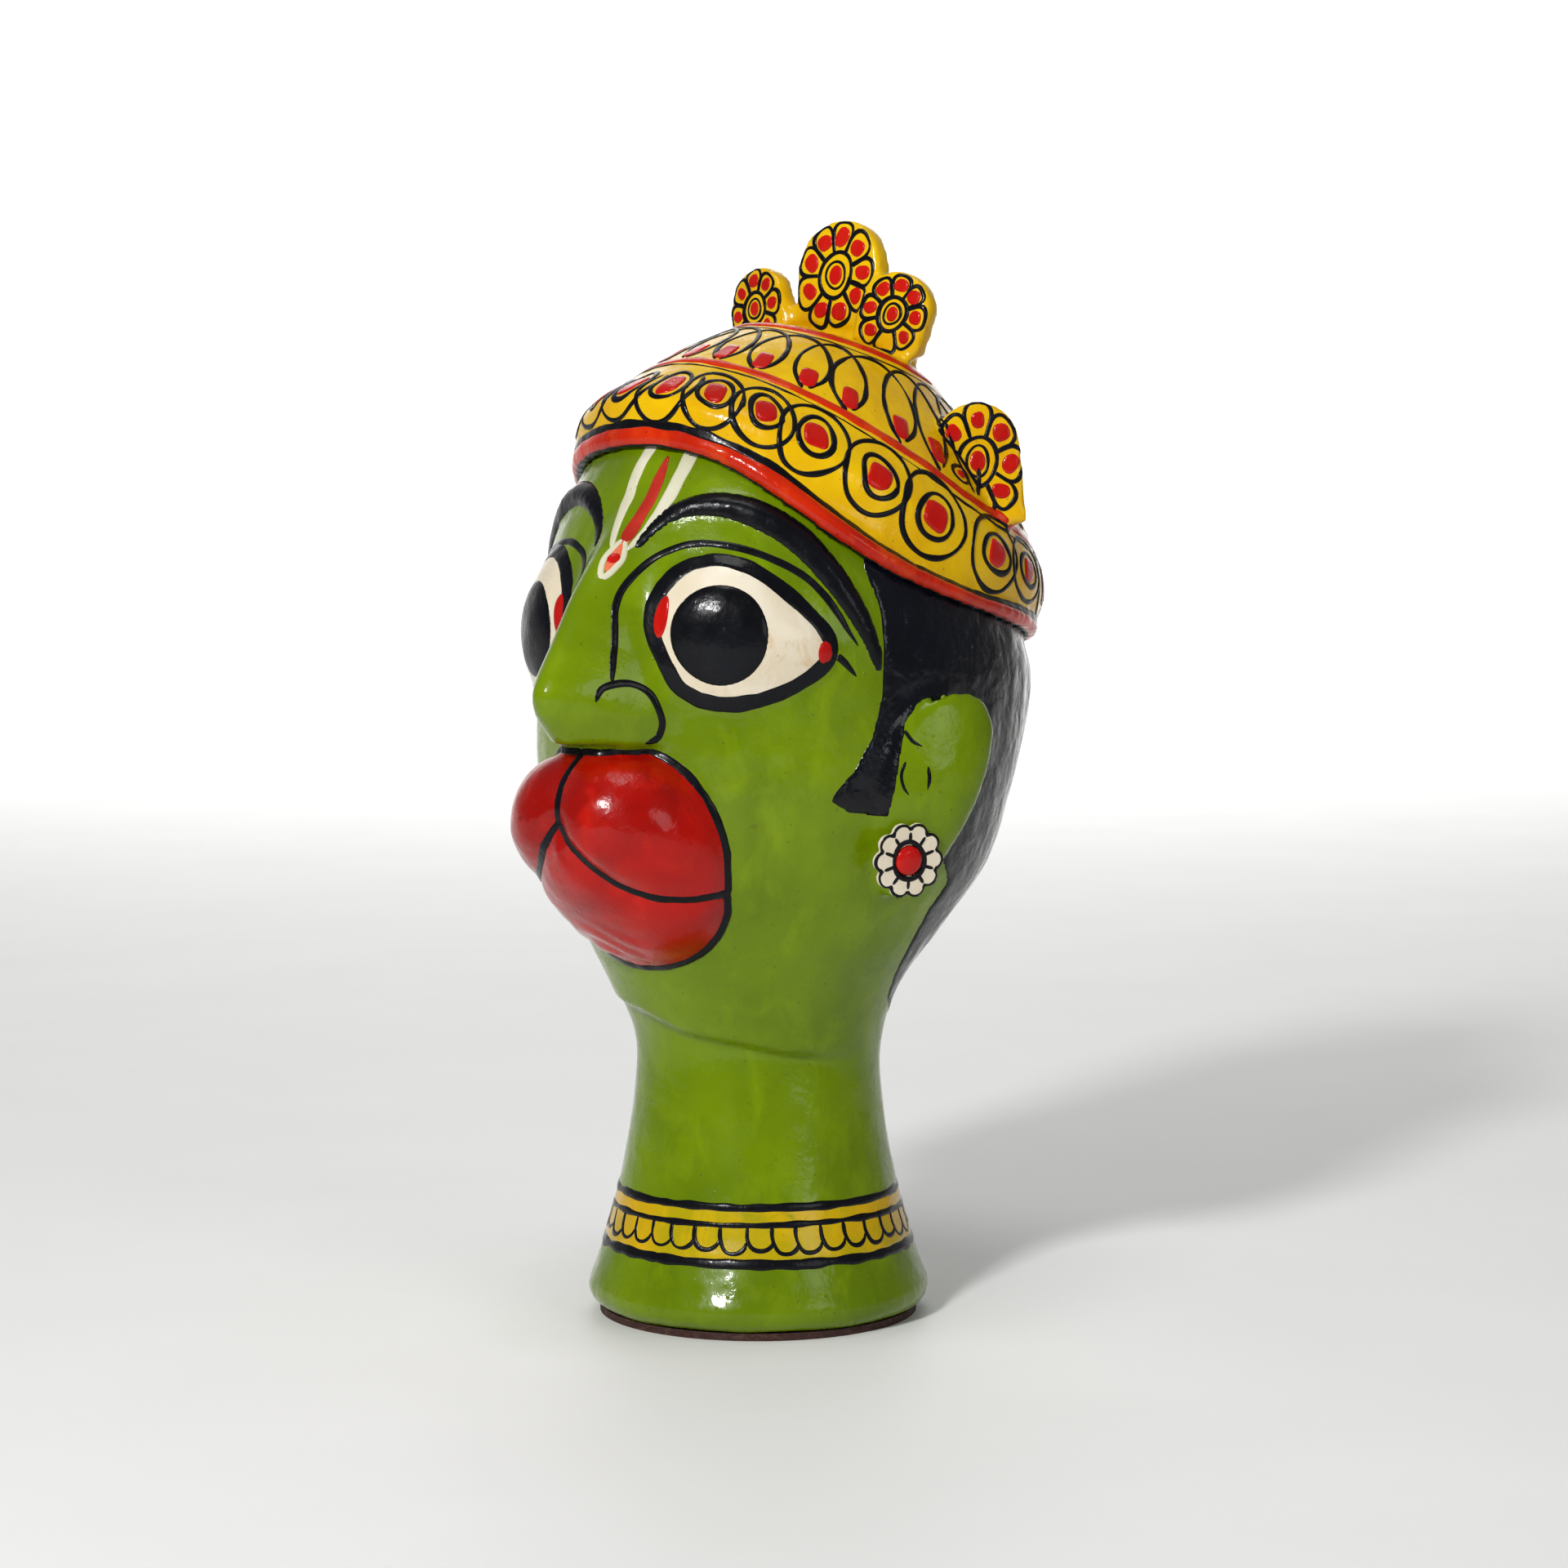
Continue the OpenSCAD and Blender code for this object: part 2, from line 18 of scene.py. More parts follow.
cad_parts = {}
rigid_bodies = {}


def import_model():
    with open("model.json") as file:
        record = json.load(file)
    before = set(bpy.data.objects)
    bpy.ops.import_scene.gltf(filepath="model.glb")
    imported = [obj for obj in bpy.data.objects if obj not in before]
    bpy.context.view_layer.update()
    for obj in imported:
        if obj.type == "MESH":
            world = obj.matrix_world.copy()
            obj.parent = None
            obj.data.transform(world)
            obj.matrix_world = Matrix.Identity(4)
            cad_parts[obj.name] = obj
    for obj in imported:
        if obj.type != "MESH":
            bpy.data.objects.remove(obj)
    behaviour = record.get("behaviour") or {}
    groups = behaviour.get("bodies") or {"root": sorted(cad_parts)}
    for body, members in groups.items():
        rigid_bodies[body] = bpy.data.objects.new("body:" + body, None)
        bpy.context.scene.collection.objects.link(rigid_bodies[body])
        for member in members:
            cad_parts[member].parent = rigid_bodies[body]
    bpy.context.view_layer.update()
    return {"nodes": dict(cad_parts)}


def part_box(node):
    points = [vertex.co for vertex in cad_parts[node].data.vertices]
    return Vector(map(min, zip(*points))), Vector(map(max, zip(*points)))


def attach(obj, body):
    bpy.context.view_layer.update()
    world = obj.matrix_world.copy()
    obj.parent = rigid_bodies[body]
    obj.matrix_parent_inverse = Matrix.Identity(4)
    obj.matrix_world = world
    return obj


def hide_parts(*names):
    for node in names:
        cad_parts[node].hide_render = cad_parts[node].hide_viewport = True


for _old in list(bpy.data.objects):
    bpy.data.objects.remove(_old)
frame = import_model()

MM = 0.001
UP = Vector((0, 0, 1))
FAR = 0.2                   # metres from any axis, clear outside the head
rng = random.Random(7)


# ---------------- materials
def linear(r, g, b):
    """sRGB 0-255 to a linear RGBA colour."""
    out = []
    for c in (r, g, b):
        c = c / 255
        out.append(c / 12.92 if c <= 0.04045 else ((c + 0.055) / 1.055) ** 2.4)
    return (*out, 1.0)


class Shade:
    """Small helper that adds nodes to one material and links them."""

    def __init__(self, name):
        self.mat = bpy.data.materials.new(name)
        self.mat.use_nodes = True
        self.tree = self.mat.node_tree
        self.bsdf = self.tree.nodes["Principled BSDF"]
        self.coord = self.node("ShaderNodeTexCoord").outputs["Object"]

    def node(self, kind, **settings):
        made = self.tree.nodes.new(kind)
        for key, value in settings.items():
            setattr(made, key, value)
        return made

    def link(self, a, b):
        self.tree.links.new(a, b)

    def noise(self, size_mm, detail=3.0, rough=0.5, warp=0.0, stretch=None):
        made = self.node("ShaderNodeTexNoise")
        made.inputs["Scale"].default_value = 1000 / size_mm
        made.inputs["Detail"].default_value = detail
        made.inputs["Roughness"].default_value = rough
        made.inputs["Distortion"].default_value = warp
        source = self.coord
        if stretch:
            mapping = self.node("ShaderNodeMapping")
            mapping.inputs["Scale"].default_value = stretch
            self.link(self.coord, mapping.inputs["Vector"])
            source = mapping.outputs["Vector"]
        self.link(source, made.inputs["Vector"])
        return made.outputs["Fac"]

    def cells(self, size_mm):
        made = self.node("ShaderNodeTexVoronoi")
        made.inputs["Scale"].default_value = 1000 / size_mm
        self.link(self.coord, made.inputs["Vector"])
        return made.outputs["Distance"]

    def ranged(self, value, a, b, low, high):
        made = self.node("ShaderNodeMapRange")
        for key, number in (("From Min", a), ("From Max", b), ("To Min", low), ("To Max", high)):
            made.inputs[key].default_value = number
        self.link(value, made.inputs["Value"])
        return made.outputs["Result"]

    def mixed(self, fac, a, b, blend="MIX"):
        made = self.node("ShaderNodeMix", data_type="RGBA", blend_type=blend)
        self.link(fac, made.inputs["Factor"])
        for value, socket in ((a, made.inputs[6]), (b, made.inputs[7])):
            if isinstance(value, tuple):
                socket.default_value = value
            else:
                self.link(value, socket)
        return made.outputs[2]

    def bump(self, height, strength, distance_mm, under=None):
        made = self.node("ShaderNodeBump")
        made.inputs["Strength"].default_value = strength
        made.inputs["Distance"].default_value = distance_mm * MM
        self.link(height, made.inputs["Height"])
        if under is not None:
            self.link(under, made.inputs["Normal"])
        return made.outputs["Normal"]


def lacquer(name, base, shade, glow, grime, rough=(0.16, 0.36), coat=0.65, lumps=0.5, grime_at=0.66):
    """Brushed enamel over paper: two-tone colour, thin worn patches, brush marks, dust nibs."""
    s = Shade(name)
    broad = s.ranged(s.noise(26, 3, 0.55, 0.4), 0.38, 0.64, 0, 1)
    colour = s.mixed(broad, linear(*base), linear(*shade))
    streaks = s.ranged(s.noise(7, 4, 0.6, 0.6, (1, 1, 0.6)), 0.5, 0.74, 0, 0.6)
    colour = s.mixed(streaks, colour, linear(*glow))
    dirt = s.ranged(s.noise(11, 5, 0.65, 0.8), grime_at, grime_at + 0.12, 0, 0.7)
    colour = s.mixed(dirt, colour, linear(*grime))
    nib = s.cells(3.1)
    specks = s.ranged(nib, 0.05, 0.1, 0.6, 0)
    colour = s.mixed(specks, colour, linear(*grime))
    s.link(colour, s.bsdf.inputs["Base Color"])
    polish = s.ranged(s.noise(5, 4, 0.6), 0.35, 0.7, rough[0], rough[1])
    s.link(polish, s.bsdf.inputs["Roughness"])
    normal = s.bump(s.noise(6.5, 2, 0.5, 0.3), 0.55 * lumps, 0.8)
    normal = s.bump(s.noise(2.2, 3, 0.6, 0.2, (1, 1, 0.5)), 0.35 * lumps, 0.25, normal)
    normal = s.bump(s.ranged(nib, 0.03, 0.14, 1, 0), 0.4, 0.12, normal)
    peel = s.node("ShaderNodeMath", operation="MULTIPLY")
    s.link(s.noise(0.8, 3, 0.6), peel.inputs[0])
    s.link(s.ranged(s.noise(10, 3, 0.6, 0.5), 0.42, 0.6, 0.15, 1), peel.inputs[1])
    normal = s.bump(peel.outputs[0], 0.65, 0.12, normal)
    s.link(normal, s.bsdf.inputs["Normal"])
    s.link(normal, s.bsdf.inputs["Coat Normal"])
    s.bsdf.inputs["Coat Weight"].default_value = coat
    s.bsdf.inputs["Coat Roughness"].default_value = 0.045
    s.bsdf.inputs["Coat IOR"].default_value = 1.3
    s.bsdf.inputs["Specular IOR Level"].default_value = 0.12
    return s.mat


def paper_pulp(name, base, shade, dark):
    """Bare pressed pulp and chipped edges: matt, fibrous, blotchy."""
    s = Shade(name)
    colour = s.mixed(s.ranged(s.noise(8, 5, 0.6, 0.5), 0.35, 0.65, 0, 1), linear(*base), linear(*shade))
    fibres = s.ranged(s.noise(1.6, 6, 0.7, 1.2, (1, 1, 3)), 0.52, 0.62, 0, 0.8)
    s.link(s.mixed(fibres, colour, linear(*dark)), s.bsdf.inputs["Base Color"])
    s.link(s.ranged(s.noise(3, 4), 0.3, 0.7, 0.62, 0.9), s.bsdf.inputs["Roughness"])
    normal = s.bump(s.noise(2.5, 6, 0.7, 0.6), 0.8, 0.35)
    s.link(normal, s.bsdf.inputs["Normal"])
    return s.mat


GREEN = lacquer("green_enamel", (110, 136, 0), (95, 120, 0), (124, 150, 2), (84, 90, 8))
BLACK = lacquer("black_enamel", (7, 8, 12), (11, 12, 18), (16, 18, 24), (26, 24, 22), (0.2, 0.42), 0.32)
HAIR = lacquer("hair_enamel", (5, 6, 11), (9, 12, 22), (15, 20, 32), (25, 25, 28), (0.16, 0.38), 0.85, 1.6)
RED = lacquer("red_enamel", (180, 12, 2), (146, 9, 3), (204, 26, 6), (100, 12, 6))
RED_DOT = lacquer("red_dot_enamel", (198, 16, 8), (172, 14, 8), (208, 38, 14), (136, 28, 10))
ORANGE = lacquer("rim_enamel", (206, 42, 2), (170, 20, 2), (224, 82, 10), (96, 16, 6))
YELLOW = lacquer("yellow_enamel", (231, 186, 2), (217, 164, 2), (242, 200, 10), (184, 118, 8))
WHITE = lacquer("white_enamel", (232, 222, 200), (218, 204, 176), (240, 234, 218), (206, 168, 112),
                grime_at=0.6)
CHALK = lacquer("chalk_enamel", (214, 210, 184), (200, 200, 168), (226, 222, 204), (170, 176, 120))
BRICK = lacquer("brick_enamel", (178, 42, 30), (160, 36, 26), (196, 62, 44), (124, 40, 22), coat=0.5)
PINK = lacquer("pink_enamel", (226, 120, 84), (214, 96, 66), (232, 150, 112), (180, 70, 40), coat=0.5)
NECK_GOLD = lacquer("necklace_enamel", (214, 168, 6), (176, 160, 6), (230, 182, 14), (120, 140, 6),
                    grime_at=0.58)
PULP = paper_pulp("bare_pulp", (168, 150, 118), (146, 126, 94), (112, 92, 64))
EDGE = paper_pulp("brown_edge", (58, 26, 18), (40, 16, 12), (92, 56, 40))


# ---------------- mesh helpers
def link(obj):
    bpy.context.scene.collection.objects.link(obj)
    return obj


def smooth_shade(mesh):
    mesh.polygons.foreach_set("use_smooth", np.ones(len(mesh.polygons), bool))


def tree_of(*objects):
    """One BVH tree over the meshes of these objects."""
    verts, faces = [], []
    for obj in objects:
        start = len(verts)
        verts += [v.co.copy() for v in obj.data.vertices]
        faces += [[start + i for i in p.vertices] for p in obj.data.polygons]
    return BVHTree.FromPolygons(verts, faces)


def node_tree_of(*names):
    """One BVH tree over these CAD nodes."""
    return tree_of(*[frame["nodes"][n] for n in names])


def vertex_array(obj):
    """Vertex positions in metres, one row each."""
    co = np.empty(len(obj.data.vertices) * 3)
    obj.data.vertices.foreach_get("co", co)
    return co.reshape(-1, 3)


def normal_array(obj):
    """Vertex normals, one row each."""
    no = np.empty(len(obj.data.vertices) * 3)
    obj.data.vertices.foreach_get("normal", no)
    return no.reshape(-1, 3)


def place_vertices(obj, co):
    """Puts the vertices at these positions in metres."""
    obj.data.vertices.foreach_set("co", co.ravel())
    obj.data.update()


def node_points(name):
    """The vertices of a CAD node in metres, one row each."""
    return np.array([tuple(v.co) for v in frame["nodes"][name].data.vertices])


def settle(obj):
    """Applies every modifier on obj."""
    graph = bpy.context.evaluated_depsgraph_get()
    made = bpy.data.meshes.new_from_object(obj.evaluated_get(graph))
    obj.modifiers.clear()
    obj.data = made
    return obj


def finish_piece(obj, material, slot, *nodes):
    """Material, riding body and the CAD nodes that the piece stands for. The slot argument is not used."""
    obj.data.materials.clear()
    obj.data.materials.append(material)
    smooth_shade(obj.data)
    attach(obj, "root")
    if nodes:
        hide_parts(*nodes)
    return obj


def lumpy(point, amount):
    """Hand-made unevenness in metres: broad swells and small dabs."""
    swell = noise.noise(point / (13 * MM))
    dab = noise.noise(point / (4.5 * MM) + Vector((5, 1, 9)))
    return amount * MM * (swell + 0.32 * dab)


def add_web(bm, left, right, share=0.7):
    """Paper pulp that fills the foot of the notch between two standing nodes."""
    corners = [node_points(n) for n in (left, right)]
    middles = [c.mean(0) for c in corners]
    way = middles[1] - middles[0]
    top = min(c[:, 2].min() + share * np.ptp(c[:, 2]) for c in corners)
    hull = []
    for pts, middle, sign in zip(corners, middles, (1, -1)):
        near = (sign * (pts - middle) @ way > 0) & (pts[:, 2] < top)
        hull += [bm.verts.new(p) for p in pts[near]]
    bmesh.ops.convex_hull(bm, input=hull)


def object_from(bm, name):
    """A new object that takes over the bmesh."""
    mesh = bpy.data.meshes.new(name)
    bm.to_mesh(mesh)
    bm.free()
    return link(bpy.data.objects.new(name, mesh))


def moulded(name, nodes, voxel=1.0, rounds=8, lump=0.22, webs=()):
    """The CAD nodes fused to one hand-smoothed skin with slightly uneven surfaces."""
    bm = bmesh.new()
    for node in nodes:
        bm.from_mesh(frame["nodes"][node].data)
    for pair in webs:
        add_web(bm, *pair)
    obj = object_from(bm, name)
    fuse = obj.modifiers.new("fuse", "REMESH")
    fuse.mode = "VOXEL"
    fuse.voxel_size = voxel * MM
    ease = obj.modifiers.new("ease", "SMOOTH")
    ease.factor = 0.5
    ease.iterations = rounds
    settle(obj)
    normals = [v.normal.copy() for v in obj.data.vertices]
    for vert, normal in zip(obj.data.vertices, normals):
        vert.co += normal * lumpy(vert.co, lump)
    obj.data.update()
    return obj


def polygon_field(points, outline):
    """Signed distance of 2-D points to a closed outline, positive inside."""
    pts = np.asarray(points, float)
    loop = np.asarray(outline, float)
    best = np.full(len(pts), 1e9)
    inside = np.zeros(len(pts), bool)
    for a, b in zip(loop, np.roll(loop, -1, 0)):
        edge = b - a
        t = np.clip(((pts - a) @ edge) / max(edge @ edge, 1e-12), 0, 1)
        best = np.minimum(best, np.hypot(*(pts - a - t[:, None] * edge).T))
        crosses = (a[1] > pts[:, 1]) != (b[1] > pts[:, 1])
        rise = b[1] - a[1] if abs(b[1] - a[1]) > 1e-12 else 1e-12
        inside ^= crosses & (pts[:, 0] < edge[0] * (pts[:, 1] - a[1]) / rise + a[0])
    return np.where(inside, best, -best)


def distances(points, tree, reach=4.0):
    """Distance in mm of each point to the tree, at most reach."""
    out = np.full(len(points), reach)
    for i, point in enumerate(points):
        hit = tree.find_nearest(Vector(point), reach * MM)
        if hit[0] is not None:
            out[i] = hit[3] / MM
    return out


FAR_OUTSIDE = -2.5          # a coat drops the skin's vertices below this field value at once
NEAR_EDGE = 0.02            # and pushes vertices this close to its edge off it, so no sliver is cut


def cut_out(bm, layer):
    """Cuts the mesh along the line where the layer is 0 and keeps the part above it."""
    far = [v for v in bm.verts if v[layer] < FAR_OUTSIDE]
    bmesh.ops.delete(bm, geom=far, context="VERTS")
    for v in bm.verts:
        if abs(v[layer]) < NEAR_EDGE:
            v[layer] = NEAR_EDGE
    crossing = [e for e in bm.edges if e.verts[0][layer] * e.verts[1][layer] < 0]
    cut = set()
    for e in crossing:
        a, b = e.verts
        share = a[layer] / (a[layer] - b[layer])
        made = bmesh.utils.edge_split(e, a, share)[1]
        made[layer] = 0.0
        cut.add(made)
    for f in list(bm.faces):
        marked = [v for v in f.verts if v in cut]
        if len(marked) == 2 and not bm.edges.get(marked):
            bmesh.utils.face_split(f, marked[0], marked[1])
    outside = [f for f in bm.faces if min(v[layer] for v in f.verts) < -1e-6]
    bmesh.ops.delete(bm, geom=outside, context="FACES")
    loose = [v for v in bm.verts if not v.link_faces]
    bmesh.ops.delete(bm, geom=loose, context="VERTS")
    bm.normal_update()


def thicken(bm, layer, lift, sink, depth, edge):
    """Closes the open sheet: its top rises within edge of the border, its back lies in the skin."""
    outer_faces = list(bm.faces)
    rims = [e for e in bm.edges if e.is_boundary]
    twins = {}
    for v in list(bm.verts):
        t = min(max(v[layer] / edge, 0), 1)
        height = -sink + (lift + sink) * math.sqrt(t * (2 - t))
        twins[v] = bm.verts.new(v.co - v.normal * depth * MM)
        v.co = v.co + v.normal * height * MM
    for f in outer_faces:
        bm.faces.new([twins[v] for v in reversed(f.verts)])
    for e in rims:
        loop = e.link_loops[0]
        a, b = loop.vert, loop.link_loop_next.vert
        bm.faces.new([b, a, twins[a], twins[b]])


def coat(name, base, field, lift=0.14, sink=0.1, depth=0.6, edge=0.9):
    """A closed film of paint over the part of base where field (mm) is above 0.
    Returns the object and its border loops as lists of points."""
    bm = bmesh.new()
    bm.from_mesh(base.data)
    layer = bm.verts.layers.float.new("field")
    for v in bm.verts:
        v[layer] = field[v.index]
    cut_out(bm, layer)
    borders = border_loops(bm)
    thicken(bm, layer, lift, sink, depth, edge)
    return object_from(bm, name), borders


def border_loops(bm):
    """The boundary of an open mesh as ordered loops of points."""
    edges = {e: True for e in bm.edges if e.is_boundary}        # a dict keeps one order in every run
    loops = []
    while edges:
        e = next(iter(edges))
        del edges[e]
        start, here = e.verts
        path = [start.co.copy(), here.co.copy()]
        while here is not start:
            step = next((k for k in here.link_edges if k in edges), None)
            if step is None:
                break
            del edges[step]
            here = step.other_vert(here)
            path.append(here.co.copy())
        loops.append(path)
    return loops


# ---------------- canvases: (a, b) -> point on a surface
def polar_canvas(tree, axis_y):
    """a: degrees round the vertical axis at y = axis_y (0 in front, + to the puppet's left), b: height."""
    def at(angle, level):
        turn = math.radians(angle)
        way = Vector((math.sin(turn), -math.cos(turn), 0))
        start = Vector((0, axis_y * MM, level * MM)) + way * FAR
        return tree.ray_cast(start, -way)[0]
    return at


ABOVE, RAY = 0.012, 0.03    # a local canvas casts rays this long from this far above its centre, metres


def local_canvas(tree, centre, facing, right=None):
    """a, b: mm to the right and up from centre, seen against facing."""
    if right is None:
        right = UP.cross(facing)
    right = (right - facing * right.dot(facing)).normalized()
    high = facing.cross(right).normalized()

    def at(a, b):
        start = centre + right * (a * MM) + high * (b * MM) + facing * ABOVE
        hit = tree.ray_cast(start, -facing, RAY)
        if hit[0] is None:
            hit = tree.find_nearest(start - facing * ABOVE)
        return hit[0]
    return at


def curve(points, closed=False, steps=8):
    """Catmull-Rom curve through 2-D or 3-D points."""
    pts = [np.array(p, float) for p in points]
    n = len(pts)
    if closed:
        pts = [pts[-1]] + pts + [pts[0], pts[1]]
        spans = n
    else:
        pts = [2 * pts[0] - pts[1]] + pts + [2 * pts[-1] - pts[-2]]
        spans = n - 1
    out = []
    for i in range(spans):
        p0, p1, p2, p3 = pts[i:i + 4]
        for k in range(steps):
            t = k / steps
            out.append(0.5 * (2 * p1 + (p2 - p0) * t + (2 * p0 - 5 * p1 + 4 * p2 - p3) * t ** 2
                              + (3 * p1 - p0 - 3 * p2 + p3) * t ** 3))
    if not closed:
        out.append(pts[-2])
    return out


def resampled(points, step, closed=False):
    """3-D points spaced evenly, about step mm apart."""
    pts = np.array([tuple(p) for p in points], float)
    if closed:
        pts = np.vstack([pts, pts[:1]])
    lengths = np.r_[0, np.cumsum(np.linalg.norm(np.diff(pts, axis=0), axis=1))]
    count = max(int(lengths[-1] / (step * MM)), 4)
    marks = np.linspace(0, lengths[-1], count + 1)
    out = np.stack([np.interp(marks, lengths, pts[:, k]) for k in range(3)], 1)
    return out[:-1] if closed else out


def tapered(run, tip):
    """How full a brush stroke is at a distance run from an end that thins out over the length tip."""
    return math.sqrt(max(min((run + 0.12) / tip, 1), 0.02)) if tip > 0 else 1.0


class Film:
    """Collects brush strokes and dabs of one paint into one piece."""

    # a stroke's cross-section: sideways in half widths, up in lifts and down in sinks
    SECTION = ((-1.0, -1), (-0.8, 0.62), (-0.35, 1.0), (0.35, 1.0), (0.8, 0.62), (1.0, -1),
               (0.55, -4), (-0.55, -4))
    FULL_HALF = 0.45            # a stroke thinner than this half width is lower too
    ROOT = 0.4                  # how deep the back of a dab lies in the skin

    def __init__(self, name, tree, lift=0.15, sink=0.1):
        self.name, self.tree, self.lift, self.sink = name, tree, lift, sink
        self.verts, self.faces = [], []

    def _height(self, level):
        return level * self.lift if level > 0 else level * self.sink

    def _normals(self, pts, closed):
        """The skin's normals at the points, evened out along the stroke."""
        normals = np.array([tuple(self.tree.find_nearest(Vector(p))[1]) for p in pts])
        for _ in range(3):
            left = np.roll(normals, 1, 0) if closed else np.vstack([normals[:1], normals[:-1]])
            right = np.roll(normals, -1, 0) if closed else np.vstack([normals[1:], normals[-1:]])
            normals = normals + left + right
            normals /= np.linalg.norm(normals, axis=1)[:, None]
        return normals

    def _tube(self, base, n, closed):
        """Faces between n cross-sections from vertex base on, with two ends unless closed."""
        k = len(self.SECTION)
        for i in range(n if closed else n - 1):
            for j in range(k):
                a, b = base + i * k + j, base + i * k + (j + 1) % k
                c, d = base + ((i + 1) % n) * k + (j + 1) % k, base + ((i + 1) % n) * k + j
                self.faces.append((a, b, c, d))
        if not closed:
            self.faces.append(tuple(base + j for j in reversed(range(k))))
            self.faces.append(tuple(base + (n - 1) * k + j for j in range(k)))

    def line(self, points, width, closed=False, tips=(3.0, 3.0), wobble=0.16, step=0.7, drift=0.1):
        """A brush stroke along 3-D points; tips are the lengths in mm over which its ends thin out."""
        pts = resampled([p for p in points if p is not None], step, closed)
        n = len(pts)
        seed = Vector((rng.uniform(-50, 50), rng.uniform(-50, 50), 0))
        ahead = np.roll(pts, -1, 0) if closed else np.vstack([pts[1:], 2 * pts[-1:] - pts[-2:-1]])
        behind = np.roll(pts, 1, 0) if closed else np.vstack([2 * pts[:1] - pts[1:2], pts[:-1]])
        tangent = ahead - behind
        normals = self._normals(pts, closed)
        base = len(self.verts)
        total = step * (n - 1)
        for i in range(n):
            s = i * step
            grow = 1.0 if closed else min(tapered(s, tips[0]), tapered(total - s, tips[1]))
            swell = 1 + wobble * noise.noise(seed + Vector((s / 5, 0, 0)))
            half = width / 2 * grow * swell
            out = Vector(normals[i])
            along = Vector(tangent[i]).normalized()
            side = along.cross(out).normalized()
            shift = drift * noise.noise(seed + Vector((s / 3.5, 7, 0)))
            middle = Vector(pts[i]) + side * (shift * MM)
            for reach, level in self.SECTION:
                spot = middle + side * (reach * half * MM)
                hit = self.tree.find_nearest(spot)
                shrink = min(1, half / self.FULL_HALF) if level > 0 else 1
                self.verts.append(hit[0] + out * (self._height(level) * shrink * MM))
        self._tube(base, n, closed)

    def hoop(self, at, outline, width, **more):
        """A closed brush stroke along an outline given in the canvas at."""
        self.line(on(at, outline, True, 2), width, closed=True, **more)

    def dab(self, at, outline, rings=(0.35, 0.65, 0.88, 1.0)):
        """A filled dab of paint inside a closed outline given in the canvas at."""
        loop = np.array(outline, float)
        middle = loop.mean(0)
        levels = [self.lift] * (len(rings) - 1) + [-self.sink]
        levels[-2] = self.lift * 0.85
        base = len(self.verts)
        n = len(loop)
        centre = at(*middle)
        hit = self.tree.find_nearest(centre)
        self.verts.append(centre + hit[1] * (self.lift * MM))
        deep = []
        for ring, level in zip(rings, levels):
            for p in loop:
                spot = at(*(middle + (p - middle) * ring))
                hit = self.tree.find_nearest(spot)
                self.verts.append(spot + hit[1] * (level * MM))
                if ring == 1.0:
                    deep.append(middle + (p - middle) * 0.8)
        for p in deep:
            spot = at(*p)
            self.verts.append(spot - self.tree.find_nearest(spot)[1] * (self.ROOT * MM))
        for j in range(n):
            self.faces.append((base, base + 1 + j, base + 1 + (j + 1) % n))
        for r in range(len(rings)):
            for j in range(n):
                a = base + 1 + r * n + j
                b = base + 1 + r * n + (j + 1) % n
                self.faces.append((a, a + n, b + n, b))
        last = base + 1 + len(rings) * n
        self.faces.append(tuple(last + j for j in reversed(range(n))))

    def build(self, material, slot):
        """The collected paint as one piece."""
        mesh = bpy.data.meshes.new(self.name)
        mesh.from_pydata([tuple(v) for v in self.verts], [], self.faces)
        bm = bmesh.new()
        bm.from_mesh(mesh)
        bmesh.ops.recalc_face_normals(bm, faces=bm.faces)
        bm.to_mesh(mesh)
        bm.free()
        return finish_piece(link(bpy.data.objects.new(self.name, mesh)), material, slot)


def on(at, points, closed=False, steps=8):
    """A curve drawn in canvas coordinates, as 3-D points."""
    return [at(*p) for p in curve(points, closed, steps)]


def oval(a, b, ra, rb, turn=0.0, count=28, square=0.0, jitter=0.0):
    """Closed outline; square above 0 pushes it towards a rounded rectangle."""
    out = []
    tilt = math.radians(turn)
    phase = rng.uniform(0, 6.28)
    power = 1 - 0.5 * square
    for i in range(count):
        t = 2 * math.pi * i / count
        u = math.copysign(abs(math.cos(t)) ** power, math.cos(t))
        v = math.copysign(abs(math.sin(t)) ** power, math.sin(t))
        swell = 1 + jitter * math.sin(2 * t + phase) + 0.6 * jitter * math.sin(3 * t + 2 * phase)
        u, v = u * ra * swell, v * rb * swell
        out.append((a + u * math.cos(tilt) - v * math.sin(tilt),
                    b + u * math.sin(tilt) + v * math.cos(tilt)))
    return out


# ---------------- head: skins
FACE_AXIS = 8.0             # y of the upright axis that the face's angles turn round
GREEN_NODES = ["face_shell", "nose", "ear_left", "ear_right", "neck_tube"]
BODY_NODES = GREEN_NODES + ["back_shell", "eye_left", "eye_right", "brow_left", "brow_right",
                            "muzzle_left", "muzzle_right", "lower_lip"]


def head_points(obj):
    """Vertex positions in mm, their angle round the face axis and the outward share of their normals."""
    co, no = vertex_array(obj) / MM, normal_array(obj)
    dx, dy = co[:, 0], co[:, 1] - FACE_AXIS
    angle = np.degrees(np.arctan2(dx, -dy))
    radius = np.hypot(dx, dy)
    outward = (no[:, 0] * dx + no[:, 1] * dy) / np.maximum(radius, 1e-6)
    return co, angle, outward


